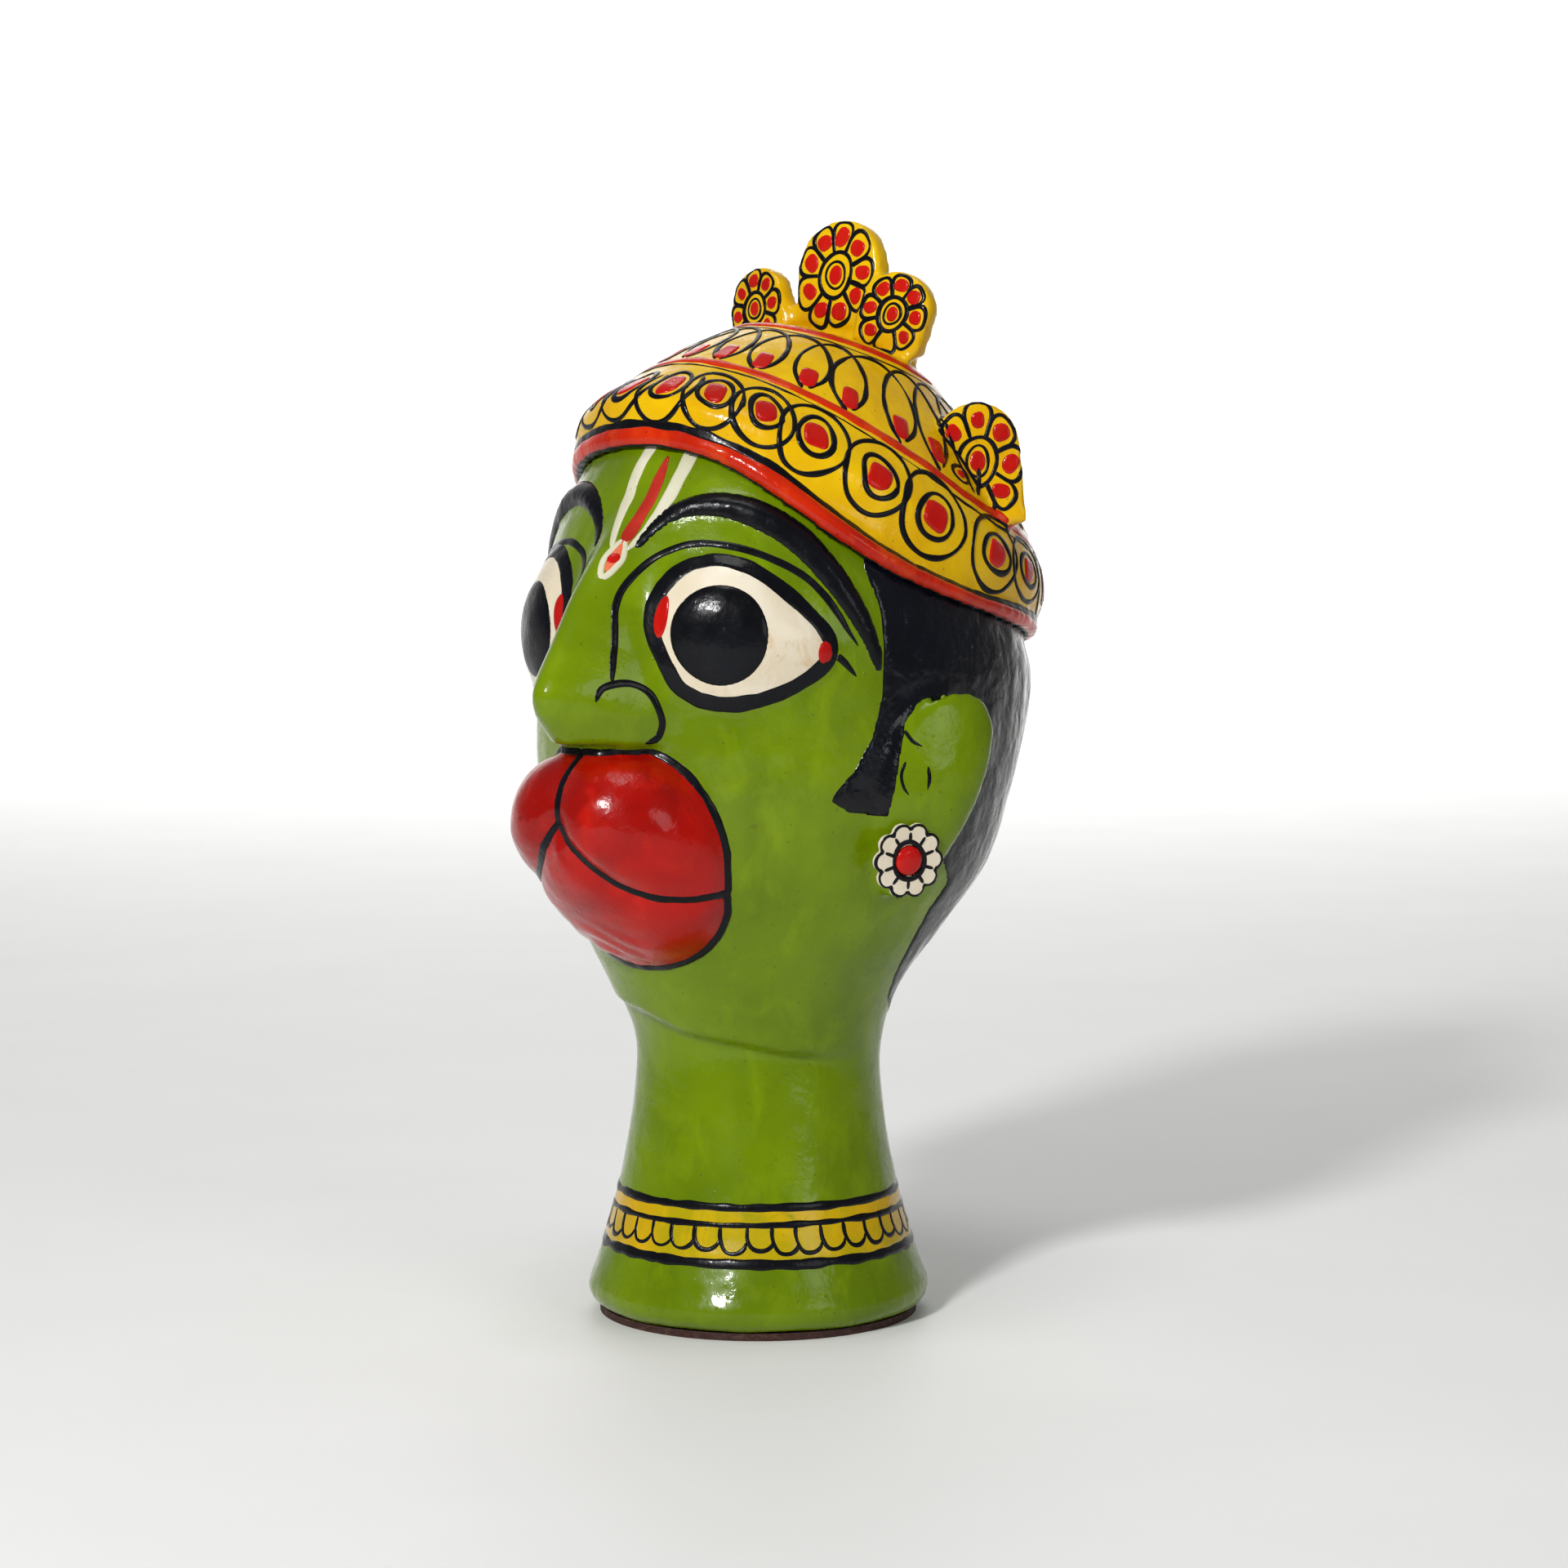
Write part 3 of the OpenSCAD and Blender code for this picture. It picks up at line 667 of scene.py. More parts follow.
def eased(obj, weight, rounds):
    """Smooths the mesh where weight (0 to 1 per vertex) says so."""
    co = vertex_array(obj)
    edges = np.empty(len(obj.data.edges) * 2, int)
    obj.data.edges.foreach_get("vertices", edges)
    a, b = edges.reshape(-1, 2).T
    n = len(co)
    degree = np.maximum(np.bincount(np.r_[a, b], minlength=n), 1)
    for _ in range(rounds):
        sums = [np.bincount(np.r_[a, b], np.r_[co[b, k], co[a, k]], n) for k in range(3)]
        mean = np.stack([total / degree for total in sums], 1)
        co += 0.6 * weight[:, None] * (mean - co)
    place_vertices(obj, co)


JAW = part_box("face_shell")[0].z / MM
# where the fold under the chin runs: angle, height
JAW_FOLD = ((-45, 67), (-11, 64.5), (4, 60.8), (23, 59), (40, 57), (58, 56), (75, 55.5))


def shape_jaw(obj):
    """The jaw runs into the neck, with a fold under the chin that drops towards the ear and fades out."""
    co, _, _ = head_points(obj)
    eased(obj, np.exp(-((co[:, 2] - JAW) / 9) ** 2), 60)
    co, angle, _ = head_points(obj)
    rise = co[:, 2] - np.interp(angle, *zip(*JAW_FOLD))
    fade = np.clip((angle + 42) / 20, 0, 1) * np.clip((76 - angle) / 30, 0, 1)
    above = 1 / (1 + np.exp(-np.clip(rise / 0.35, -30, 30)))
    shift = above * 1.1 * np.exp(-np.abs(rise) / 6) - (1 - above) * 1.7 * np.exp(-np.abs(rise) / 8)
    arms = co[:, :2] / np.hypot(co[:, 0], co[:, 1])[:, None]
    co[:, :2] += arms * (shift * fade)[:, None]
    place_vertices(obj, co * MM)


def soften_nose(obj):
    """Rounds the nose to a soft bulb above the snout."""
    lo, hi = [corner.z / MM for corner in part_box("nose")]
    co, angle, _ = head_points(obj)
    weight = np.clip((co[:, 2] - lo - 2) / 4, 0, 1) * np.clip((hi - co[:, 2]) / 14, 0, 1)
    weight *= np.clip((19 - np.abs(angle)) / 6, 0, 1)
    eased(obj, weight, 45)
    bulb = weight * np.exp(-((co[:, 2] - lo - 8) / 9) ** 2)
    place_vertices(obj, vertex_array(obj) + normal_array(obj) * (0.9 * MM * bulb)[:, None])


def wrinkle_lip(obj):
    """Folds in the paper along the underside of the lower lip."""
    co, angle, _ = head_points(obj)
    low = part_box("lower_lip")[0].z / MM
    window = np.exp(-((co[:, 2] - low - 4) / 5) ** 2 - ((angle + 6) / 14) ** 2)
    fold = np.sin(2 * math.pi * (co[:, 2] / 4.6 + 0.05 * angle + 0.5 * np.sin(angle / 4)))
    place_vertices(obj, co * MM + normal_array(obj) * (0.22 * MM * window * fold)[:, None])


body_skin = moulded("body_skin", BODY_NODES)
shape_jaw(body_skin)
soften_nose(body_skin)
wrinkle_lip(body_skin)
finish_piece(body_skin, GREEN, "green_lacquer", *GREEN_NODES)
co, angle, outward = head_points(body_skin)
outer = outward * 12.0      # a field that keeps paint off surfaces facing inwards


def near_field(name, others=(), reach=0.9):
    """Positive near the CAD node name, and nearer to it than to the others."""
    own = distances(co * MM, node_tree_of(name))
    field = np.minimum(reach - own, outer)
    for other in others:
        field = np.minimum(field, distances(co * MM, node_tree_of(other)) - own)
    return field


# the hair's edge as angle and height: down the temple, round the sideburn, over the ear, down to the nape
HAIR_EDGE = [(61, 175), (60, 155), (63, 147), (63.5, 139), (63, 130), (60.5, 122), (56, 115.5), (51, 111),
             (50.5, 109.5), (55, 107), (64.5, 106), (66, 112), (67.5, 119), (69, 124.5), (71.5, 127),
             (76, 122), (80, 110), (84, 98), (93, 91), (89, 86), (86.5, 78), (87.5, 72), (92, 66),
             (110, 62), (180, 60)]
MM_PER_DEGREE = 0.9         # round the head, so that the hair's field is roughly in mm


def hair_field():
    """Hair painted from the sideburns right round the back, the same on both sides."""
    right_side = [(360 - a, z) for a, z in HAIR_EDGE[-2::-1]]
    loop = [(a * MM_PER_DEGREE, z) for a, z in HAIR_EDGE + right_side]
    around = np.where(angle < 0, angle + 360, angle)
    field = polygon_field(np.stack([around * MM_PER_DEGREE, co[:, 2]], 1), loop)
    off_ears = distances(co * MM, node_tree_of("ear_left", "ear_right")) - 1.0
    off_ears += 2 * np.clip(72 - np.abs(angle), 0, 3)
    return np.minimum(np.minimum(field, outer), off_ears)


hair, _ = coat("hair", body_skin, hair_field(), lift=0.2)
finish_piece(hair, HAIR, "black_lacquer", "back_shell")

MUZZLE_LOBES = ["muzzle_left", "muzzle_right", "lower_lip"]
muzzle_borders = []
for part in MUZZLE_LOBES:
    others = [k for k in MUZZLE_LOBES if k != part]
    film, borders = coat(part, body_skin, near_field(part, others, 0.8), lift=0.12)
    finish_piece(film, RED, "red_lacquer", part)
    muzzle_borders.append(borders)
eye_borders = {}
for part in ("eye_left", "eye_right"):
    film, eye_borders[part] = coat(part, body_skin, near_field(part, (), 0.7), lift=0.1)
    finish_piece(film, WHITE, "white_lacquer", part)
for part in ("brow_left", "brow_right"):
    film, _ = coat(part, body_skin, near_field(part, (), 0.9), lift=0.25)
    finish_piece(film, BLACK, "black_lacquer", part)

face_tree = tree_of(body_skin)

# ---------------- head: painted lines
face = polar_canvas(face_tree, FACE_AXIS)
LID_CREASE = [(8, 133), (7, 141), (6, 149), (7.5, 154), (12, 158), (21, 160), (34, 158), (47, 152), (57, 140)]
NOSTRIL = [(6.6, 129.5), (7.3, 132.3), (10, 132.9), (13, 130.6), (14.6, 126), (13.8, 122.3), (11.8, 121)]
EYE_TAIL = [(52, 138), (54, 136.5), (56.5, 134)]
CHIP = 20                   # a coat's border loop of no more points than this isn't outlined


def mirrored(points, side):
    """Face coordinates on the puppet's left (side 1) or right (side -1)."""
    return [(side * a, z) for a, z in points]


def face_view(angle, level):
    """A local canvas on the face, seen from straight outside."""
    spot = face(angle, level)
    return local_canvas(face_tree, spot, (spot - Vector((0, FACE_AXIS * MM, spot.z))).normalized())


lines = Film("face_lines", face_tree, 0.16)
for side in (1, -1):
    lines.line(on(face, mirrored(LID_CREASE, side)), 1.7, tips=(4, 9))
    lines.line(on(face, mirrored(NOSTRIL, side)), 1.6, tips=(2, 2))
lines.build(BLACK, "black_lacquer")

rims = Film("eye_outlines", face_tree, 0.22)
pupils = Film("pupils", face_tree, 0.28)
corners = Film("eye_corners", face_tree, 0.26)
for part, side in (("eye_left", 1), ("eye_right", -1)):
    for loop in eye_borders[part]:
        if len(loop) > CHIP:
            middle = sum(loop, Vector()) / len(loop)
            rims.line([q + (middle - q).normalized() * (0.7 * MM) for q in loop[:-1]], 3.9, closed=True)
    rims.line(on(face, mirrored(EYE_TAIL, side)), 1.6, tips=(0, 4))
    pupils.dab(face_view(side * 26.6, 142.3), oval(0, 0, 10.2, 10.4, count=48, jitter=0.012),
               (0.2, 0.4, 0.6, 0.78, 0.9, 1.0))
    corners.dab(face_view(side * 14.2, 145.6), oval(0, 0, 1.7, 4.4, side * -8, jitter=0.04))
    corners.dab(face_view(side * 49, 138.8), oval(0, 0, 1.6, 2.5, jitter=0.06))
rims.build(BLACK, "black_lacquer")
pupils.build(BLACK, "black_lacquer")
corners.build(RED_DOT, "red_lacquer")

mouth = Film("mouth_lines", face_tree, 0.2)
for borders in muzzle_borders:
    for loop in borders:
        if len(loop) > CHIP:
            mouth.line(loop[:-1], 1.9, closed=True, wobble=0.2)
mouth.build(BLACK, "black_lacquer")

# forehead mark: two chalk strokes that meet in a ring, a flame between them and a dot in the ring
chalk = Film("forehead_mark", face_tree, 0.18)
chalk.line(on(face, [(-0.5, 181), (-2.3, 174), (-1.2, 166), (2, 158.5)]), 3.3, tips=(0.8, 14))
chalk.line(on(face, [(13.6, 180), (11.2, 172), (8.2, 164.5), (4.5, 158.5)]), 3.3, tips=(0.8, 14))
chalk.line(on(face, [(3.2, 160.5), (1.5, 157), (2.9, 153.4), (4.6, 157)], True), 1.4, closed=True)
chalk.build(CHALK, "white_lacquer")
flame = Film("forehead_flame", face_tree, 0.2)
flame.line(on(face, [(6.0, 177), (5.4, 171), (4.3, 165), (3.2, 160)]), 2.9, tips=(6, 2))
flame.build(BRICK, "red_lacquer")
glow = Film("forehead_glow", face_tree, 0.14)
glow.line(on(face, [(3.8, 162.5), (3.2, 158.5), (3, 154.5)]), 2.2, tips=(0.8, 1.2))
glow.build(PINK, "orange_lacquer")
seed_dot = Film("forehead_dot", face_tree, 0.24)
spot = face(3.1, 157)
seed_dot.dab(local_canvas(face_tree, spot, Vector((0, -1, 0.2)).normalized()), oval(0, 0, 1.1, 1.2))
seed_dot.build(RED_DOT, "red_lacquer")

# ear marks: points, width, tips
EAR_MARKS = (([(68.5, 123), (70, 121), (72, 120)], 0.9, (0, 2)),
             ([(68.3, 117), (67.2, 114.5), (67.6, 112), (68.8, 110.5)], 0.8, (1, 2)),
             ([(73, 116), (73.2, 113.5), (72.8, 111.5)], 0.9, (1, 1.5)))
marks = Film("ear_marks", face_tree, 0.14)
for side in (1, -1):
    for points, width, tips in EAR_MARKS:
        marks.line(on(face, mirrored(points, side)), width, tips=tips)
marks.build(BLACK, "black_lacquer")

# ---------------- necklace
neck = polar_canvas(face_tree, 0.0)
GOLD_FOOT, GOLD_TOP = 15.6, 26.5
RING_LINES = ((26.2, 1.9, 0.5), (22.8, 1.5, 0.6), (15.3, 2.3, 0.7))         # height, width, wobble
RING_STEPS = 120
LOOPS = 36                  # the hanging scallops between the lower two lines


def wander(turn, level):
    """How far a hand-drawn ring round the neck strays from its level there."""
    a = math.radians(turn)
    return 0.35 * noise.noise(Vector((math.cos(a) * 2, math.sin(a) * 2, level)))


def neck_ring(level):
    """A hand-drawn ring round the neck, as 3-D points."""
    turns = [360 * i / RING_STEPS for i in range(RING_STEPS)]
    return [neck(a, level + wander(a, level)) for a in turns]


def gold_field():
    """Positive between the necklace's edges, which wander as its upper line does."""
    turns = np.degrees(np.arctan2(co[:, 0], -co[:, 1]))
    stray = np.array([wander(a, GOLD_TOP) for a in turns])
    return np.minimum(np.minimum(GOLD_TOP + stray - co[:, 2], co[:, 2] - GOLD_FOOT - stray), outer)


gold, _ = coat("necklace", body_skin, gold_field(), lift=0.1)
finish_piece(gold, NECK_GOLD, "yellow_lacquer")
gold_lines = Film("necklace_lines", face_tree, 0.2)
for level, width, wobble in RING_LINES:
    gold_lines.line(neck_ring(level), width, closed=True, wobble=wobble)
for i in range(LOOPS):
    a = 360 * i / LOOPS + rng.uniform(-0.8, 0.8)
    w = 180 / LOOPS
    low = 17.6 + rng.uniform(-0.3, 0.5)
    scallop = [(a - w, 22.6), (a - w * 0.95, 20), (a - w * 0.5, low + 0.3), (a + w * 0.3, low),
               (a + w * 0.9, low + 1.0), (a + w * 1.05, low + 2.4)]
    gold_lines.line(on(neck, scallop), 1.15, tips=(0.3, 2), wobble=0.7)
gold_lines.build(BLACK, "black_lacquer")

# foot and seam keep their CAD shapes
for part, material in (("foot_ring", EDGE), ("seam_strips", PULP)):
    obj = frame["nodes"][part]
    obj.data.materials.clear()
    obj.data.materials.append(material)

# ---------------- earrings
FLOWER_PETALS = 10


def flower_radius(a):
    """Radius of the ear flower's outline in direction a (radians): round petal tips of radius 1.9."""
    share = math.pi / FLOWER_PETALS
    across = 5.75 * math.sin((a + share) % (2 * share) - share)
    return 5.55 + math.sqrt(max(1.9 ** 2 - across ** 2, 0.01))


def earring(part, side):
    """The petalled ear flower, its bead, and the lines painted on them."""
    flower = moulded("earring_" + part, ["earring_" + part], 0.35, 3, 0.03)
    finish_piece(flower, WHITE, "white_lacquer", "earring_" + part)
    bead = moulded("earring_bead_" + part, ["earring_bead_" + part], 0.3, 3, 0.06)
    finish_piece(bead, RED_DOT, "red_lacquer", "earring_bead_" + part)
    tree = tree_of(flower, bead)
    points = node_points("earring_" + part)
    ahead = Vector(np.linalg.svd(points - points.mean(0), full_matrices=False)[2][2])
    ahead = ahead if ahead.x * side > 0 else -ahead
    view = local_canvas(tree, Vector(points.mean(0)), ahead)

    def at(r, a):
        return view(r * math.cos(a), r * math.sin(a))

    ink = Film("earring_lines_" + part, tree, 0.12, 0.08)
    ink.hoop(view, oval(0, 0, 3.5, 3.6, jitter=0.05), 1.2, step=0.4)
    for i in range(FLOWER_PETALS):
        a = 2 * math.pi * (i + 0.5) / FLOWER_PETALS
        ink.line([at(r, a) for r in (3.6, 4.6, 5.7)], 0.8, tips=(0, 0.6), step=0.4)
    count = 12 * FLOWER_PETALS
    outline = [2 * math.pi * k / count for k in range(count)]
    ink.line([at(flower_radius(a), a) for a in outline], 0.95, closed=True, wobble=0.5, step=0.35)
    ink.build(BLACK, "black_lacquer")


earring("left", 1)
earring("right", -1)

# ---------------- crown: skins
CROWN_NODES = ["crown_dome", "crest_seat", "crest_centre", "crest_left", "crest_right", "crown_band",
               "side_crest_left", "side_crest_right"]
crown_skin = moulded("crown_skin", CROWN_NODES + ["crown_rim"], 0.9, 5, 0.18,
                     (("crest_left", "crest_centre"), ("crest_right", "crest_centre")))
finish_piece(crown_skin, YELLOW, "yellow_lacquer", *CROWN_NODES)
crown_tree = tree_of(crown_skin)

# the crown's slanted frame: level rings of paint round it lie square to CROWN_UP
CROWN_MIDDLE = Vector((0, 16, 172)) * MM
CROWN_RIGHT = Vector((1, 0, 0.07)).normalized()
CROWN_UP = Vector((-0.07, 0.42, 1)).normalized()
CROWN_FRONT = CROWN_UP.cross(CROWN_RIGHT).normalized() * -1


def crown_way(turn, rise):
    """Direction from the crown's middle: turn round its slanted axis, rise above its slanted plane."""
    a, e = math.radians(turn), math.radians(rise)
    flat = CROWN_RIGHT * math.sin(a) + CROWN_FRONT * math.cos(a)
    return flat * math.cos(e) + CROWN_UP * math.sin(e)


def first_index(trees, turn, rise):
    """Which tree the ray towards the crown's middle meets first."""
    way = crown_way(turn, rise)
    best, which = 1e9, -1
    for index, tree in enumerate(trees):
        hit = tree.ray_cast(CROWN_MIDDLE + way * FAR, -way, FAR)
        if hit[0] is not None and hit[3] < best:
            best, which = hit[3], index
    return which


BASE_NODES = ["crown_rim", "crown_band", "crown_dome", "crest_seat"]
CAP_FACING = 0.92           # the dome counts as its flat cap where it faces this much along CROWN_UP
LOW_RISE, HIGH_RISE = -40, 90
crown_parts = [node_tree_of(name) for name in BASE_NODES]
crown_base = node_tree_of(*BASE_NODES)


def crown_zone(turn, rise):
    """Which part of the crown lies that way: 0 rim, 1 band, 2 dome, 3 the flat cap or the crest; -1 none."""
    zone = first_index(crown_parts, turn, rise)
    if zone == 2:
        way = crown_way(turn, rise)
        facing = crown_parts[2].ray_cast(CROWN_MIDDLE + way * FAR, -way)[1]
        zone = 3 if facing.dot(CROWN_UP) > CAP_FACING else 2
    return zone


def crown_stops(turn):
    """The rise at which the rim, the band, the dome and the cap start."""
    seen = [crown_zone(turn, e) for e in range(LOW_RISE, HIGH_RISE)]
    stops = []
    for target in (0, 1, 2, 3):
        hits = [i for i, s in enumerate(seen) if s >= target]
        guess = (hits[0] if hits else len(seen) - 1) + LOW_RISE
        lo, hi = guess - 1.0, float(guess)
        for _ in range(5):
            mid = (lo + hi) / 2
            if crown_zone(turn, mid) >= target:
                hi = mid
            else:
                lo = mid
        stops.append(hi)
    return stops


TURN_STEP = 6
crown_table = np.array([crown_stops(t) for t in range(0, 360 + TURN_STEP, TURN_STEP)])


def crown(turn, level):
    """The crown's canvas. turn: degrees round it; level: -1 to 0 up the rim, to 1 up the band, to 2 up the
    dome to its cap."""
    turn = turn % 360
    stops = [np.interp(turn, np.arange(len(crown_table)) * TURN_STEP, crown_table[:, k]) for k in range(4)]
    way = crown_way(turn, np.interp(level, (-1, 0, 1, 2), stops))
    hit = crown_base.ray_cast(CROWN_MIDDLE + way * FAR, -way)[0]
    return crown_tree.find_nearest(hit)[0]


def outward_at(tree, point, spread=2.5):
    """A steady normal near a point, averaged over a few neighbours."""
    total = Vector()
    for dx, dy, dz in ((0, 0, 0), (1, 0, 0), (-1, 0, 0), (0, 1, 0), (0, -1, 0), (0, 0, 1), (0, 0, -1)):
        total += tree.find_nearest(point + Vector((dx, dy, dz)) * (spread * MM))[1]
    return total.normalized()


def rim_field():
    """Positive on the outer side of the rolled rim, in mm."""
    spots = vertex_array(crown_skin)
    own = distances(spots, node_tree_of("crown_rim"))
    band = distances(spots, node_tree_of("crown_band", "crown_dome"))
    field = np.minimum(0.9 - own, band - own)
    arms = spots - np.array(CROWN_MIDDLE)
    arms -= np.outer(arms @ np.array(CROWN_UP), np.array(CROWN_UP))
    facing = (normal_array(crown_skin) * arms).sum(1) / np.linalg.norm(arms, axis=1)
    return np.minimum(field, (facing + 0.4) * 6)


rim_roll, rim_borders = coat("crown_rim_roll", crown_skin, rim_field(), lift=0.12)
finish_piece(rim_roll, ORANGE, "orange_lacquer", "crown_rim")


# ---------------- crown: painting
def red_level(turn):
    """The painted red line sits a little above the band's top in front."""
    return 1.05 + 0.13 * max(0, math.cos(math.radians(turn)))


FULL_TURN = range(0, 360, 3)
CREST_SPAN = range(-105, 106, 4)        # the lines below the top petals don't run round the back
crown_red = Film("crown_red_lines", crown_tree, 0.2)
crown_red.line([crown(t, red_level(t)) for t in FULL_TURN], 2.5, closed=True, wobble=0.3)
crown_red.line([crown(t, 1.93) for t in CREST_SPAN], 2.2, wobble=0.3)
crown_red.build(ORANGE, "red_lacquer")

crown_ink_and_shade = Film("crown_lines_and_painted_shade", crown_tree, 0.2)
# a thin black line just under the red line round the band: painted shadow under the step at the band's top
crown_ink_and_shade.line([crown(t, red_level(t) - 0.055) for t in FULL_TURN], 0.7, closed=True, wobble=0.9)
# a thin black line just under the red line below the crest: painted shadow under that line
crown_ink_and_shade.line([crown(t, 1.85) for t in CREST_SPAN], 0.5, wobble=0.9)
disc_red = Film("crown_dots", crown_tree, 0.24)
DISC_TURNS = [-62, -48, -35.5, -22.5, -9.5, 3.3, 16, 29, 42, 60, 78, 102, 119, 136, 153, 170, 187, 204,
              221, 238, 255, 271, 286]
OPEN_BEFORE = 10            # the outer rings of the discs before this turn are open at the top


def frontness(turn):
    """1 in front, down to 0 at the sides and behind."""
    return max(0, math.cos(math.radians(max(min(1.6 * turn, 180), -180)))) if turn < 180 else 0


def band_middle(turn):
    """The middle of the band's painted face at this turn, and half of its upright height in mm."""
    path = [crown(turn, level) for level in np.linspace(0, red_level(turn), 24)]
    heights = [q.z for q in path]
    share = np.interp(180 - abs(turn % 360 - 180), (0, 45, 60, 90, 180), (0.5, 0.56, 0.56, 0.48, 0.46))
    aim = heights[0] + share * (heights[-1] - heights[0])
    return path[int(np.searchsorted(heights, aim))], (heights[-1] - heights[0]) / 2 / MM


def squarely(point, share=0.15):
    """The way out from the crown at a point, turned towards the level so that shapes there look upright."""
    out = outward_at(crown_tree, point)
    return (out - UP * (out.z * (1 - share))).normalized()


def hanging(loop, top):
    """An outline opened above the height top, like a drawn U."""
    start = max(range(len(loop)), key=lambda k: loop[k][1])
    return [q for q in loop[start:] + loop[:start] if q[1] < top]


def disc(before, turn, after):
    """Two rings and a red dot on the band at turn, as wide as the turns before and after it leave room."""
    p, half = band_middle(turn)
    before, after = band_middle(before)[0], band_middle(after)[0]
    bold = 1 + 0.2 * math.sqrt(frontness(turn))
    wide = ((p - before).length + (p - after).length) / 4 / MM * (0.4 + 0.6 * bold)
    tall = max(0.9 * wide, 0.82 * half * bold) + rng.uniform(-0.3, 0.3)
    rise = 0.24 * tall * frontness(turn)
    view = local_canvas(crown_tree, p, squarely(p), after - before)
    outer_ring = oval(0, 0, wide, tall, jitter=0.04)
    inner_ring = oval(0.2, rise, wide * 0.56, tall * 0.54, jitter=0.07)
    if turn < OPEN_BEFORE:
        cup = hanging(outer_ring, 0.74 * tall)
        crown_ink_and_shade.line(on(view, cup, steps=2), 1.15, tips=(0.6, 0.6), wobble=0.6)
    else:
        crown_ink_and_shade.hoop(view, outer_ring, 1.15, wobble=0.6)
    crown_ink_and_shade.hoop(view, inner_ring, 1.3, wobble=0.6)
    dot = oval(0.1, rise, wide * 0.36, tall * 0.4, rng.uniform(-15, 15), square=0.6, jitter=0.07)
    disc_red.dab(view, dot)


for before, turn, after in zip(DISC_TURNS[-1:] + DISC_TURNS, DISC_TURNS, DISC_TURNS[1:] + DISC_TURNS[:1]):
    disc(before, turn, after)

SHOULDER_PETALS = node_tree_of("side_crest_left", "side_crest_right")


def under_petal(point, reach=3.0):
    """Whether a standing shoulder petal is too close to paint here."""
    return SHOULDER_PETALS.find_nearest(point, reach * MM)[0] is not None


# the red seeds on the dome: nine in front as in the photograph, sixteen spaced evenly round the back
SEED_TURNS = [-32, -18, -5, 7.6, 20.7, 36, 50, 68, 82]
SEED_TURNS += [82 + 246 * (k + 1) / 17 for k in range(16)]
# one lens-shaped arch between two seeds: sideways in half widths, up from 0 to 1
ARCH = ((-0.62, 0.02), (-0.9, 0.2), (-1.0, 0.42), (-0.93, 0.64), (-0.7, 0.84), (-0.38, 0.96), (0, 1.0),
        (0.38, 0.96), (0.7, 0.84), (0.93, 0.64), (1.0, 0.42), (0.9, 0.2), (0.62, 0.02))
ARCH_TOP = 1.82


def arch(seed, after):
    """The arch between two seeds, and the red rectangle at the first."""
    turn, half = (seed + after) / 2, (after - seed) * 0.9
    low = red_level(turn) + 0.03
    height = ARCH_TOP - low
    crown_ink_and_shade.line(on(crown, [(turn + u * half, low + height * v) for u, v in ARCH]), 1.1,
                   tips=(0.8, 0.8), wobble=0.6)
    p, q = crown(seed, low + 0.2 * height), crown(seed, low + 0.36 * height)
    facing = squarely(p, 0.45)
    view = local_canvas(crown_tree, p, facing, (q - p).cross(facing))
    if not under_petal(p):
        disc_red.dab(view, oval(0, 0, 1.9, 3.3, square=1.0, jitter=0.04))


for seed, after in zip(SEED_TURNS, SEED_TURNS[1:] + [SEED_TURNS[0] + 360]):
    arch(seed, after)
for side in (1, -1):
    p = crown(side * 91, 1.16)
    view = local_canvas(crown_tree, p, outward_at(crown_tree, p))
    crown_ink_and_shade.hoop(view, oval(0, 0, 2.4, 2.1, jitter=0.06), 0.9, wobble=0.5, step=0.5)
    disc_red.dab(view, oval(0, 0, 1.2, 1.0, count=14, jitter=0.06))
crown_ink_and_shade.build(BLACK, "black_lacquer")
disc_red.build(RED_DOT, "red_lacquer")

ROUND_THE_HEAD = 100        # only the rim's borders with more points than this run round the head
rim_ink = Film("rim_lines", tree_of(crown_skin, body_skin), 0.2)
for loop in rim_borders:
    if len(loop) > ROUND_THE_HEAD:
        rim_ink.line(loop[:-1], 2.0, closed=True, wobble=0.35)
for level, width in ((-0.88, 1.4), (-1.0, 1.6)):
    path = [rim_ink.tree.find_nearest(crown(t, level))[0] for t in FULL_TURN]
    rim_ink.line(path, width, closed=True, wobble=0.4)
rim_ink.build(BLACK, "black_lacquer")


# half of a painted petal's outline from the core on: share of the flower's radius, half widths sideways
PETAL_EDGE = ((0.8, 0.96), (0.97, 0.6), (1.0, 0))


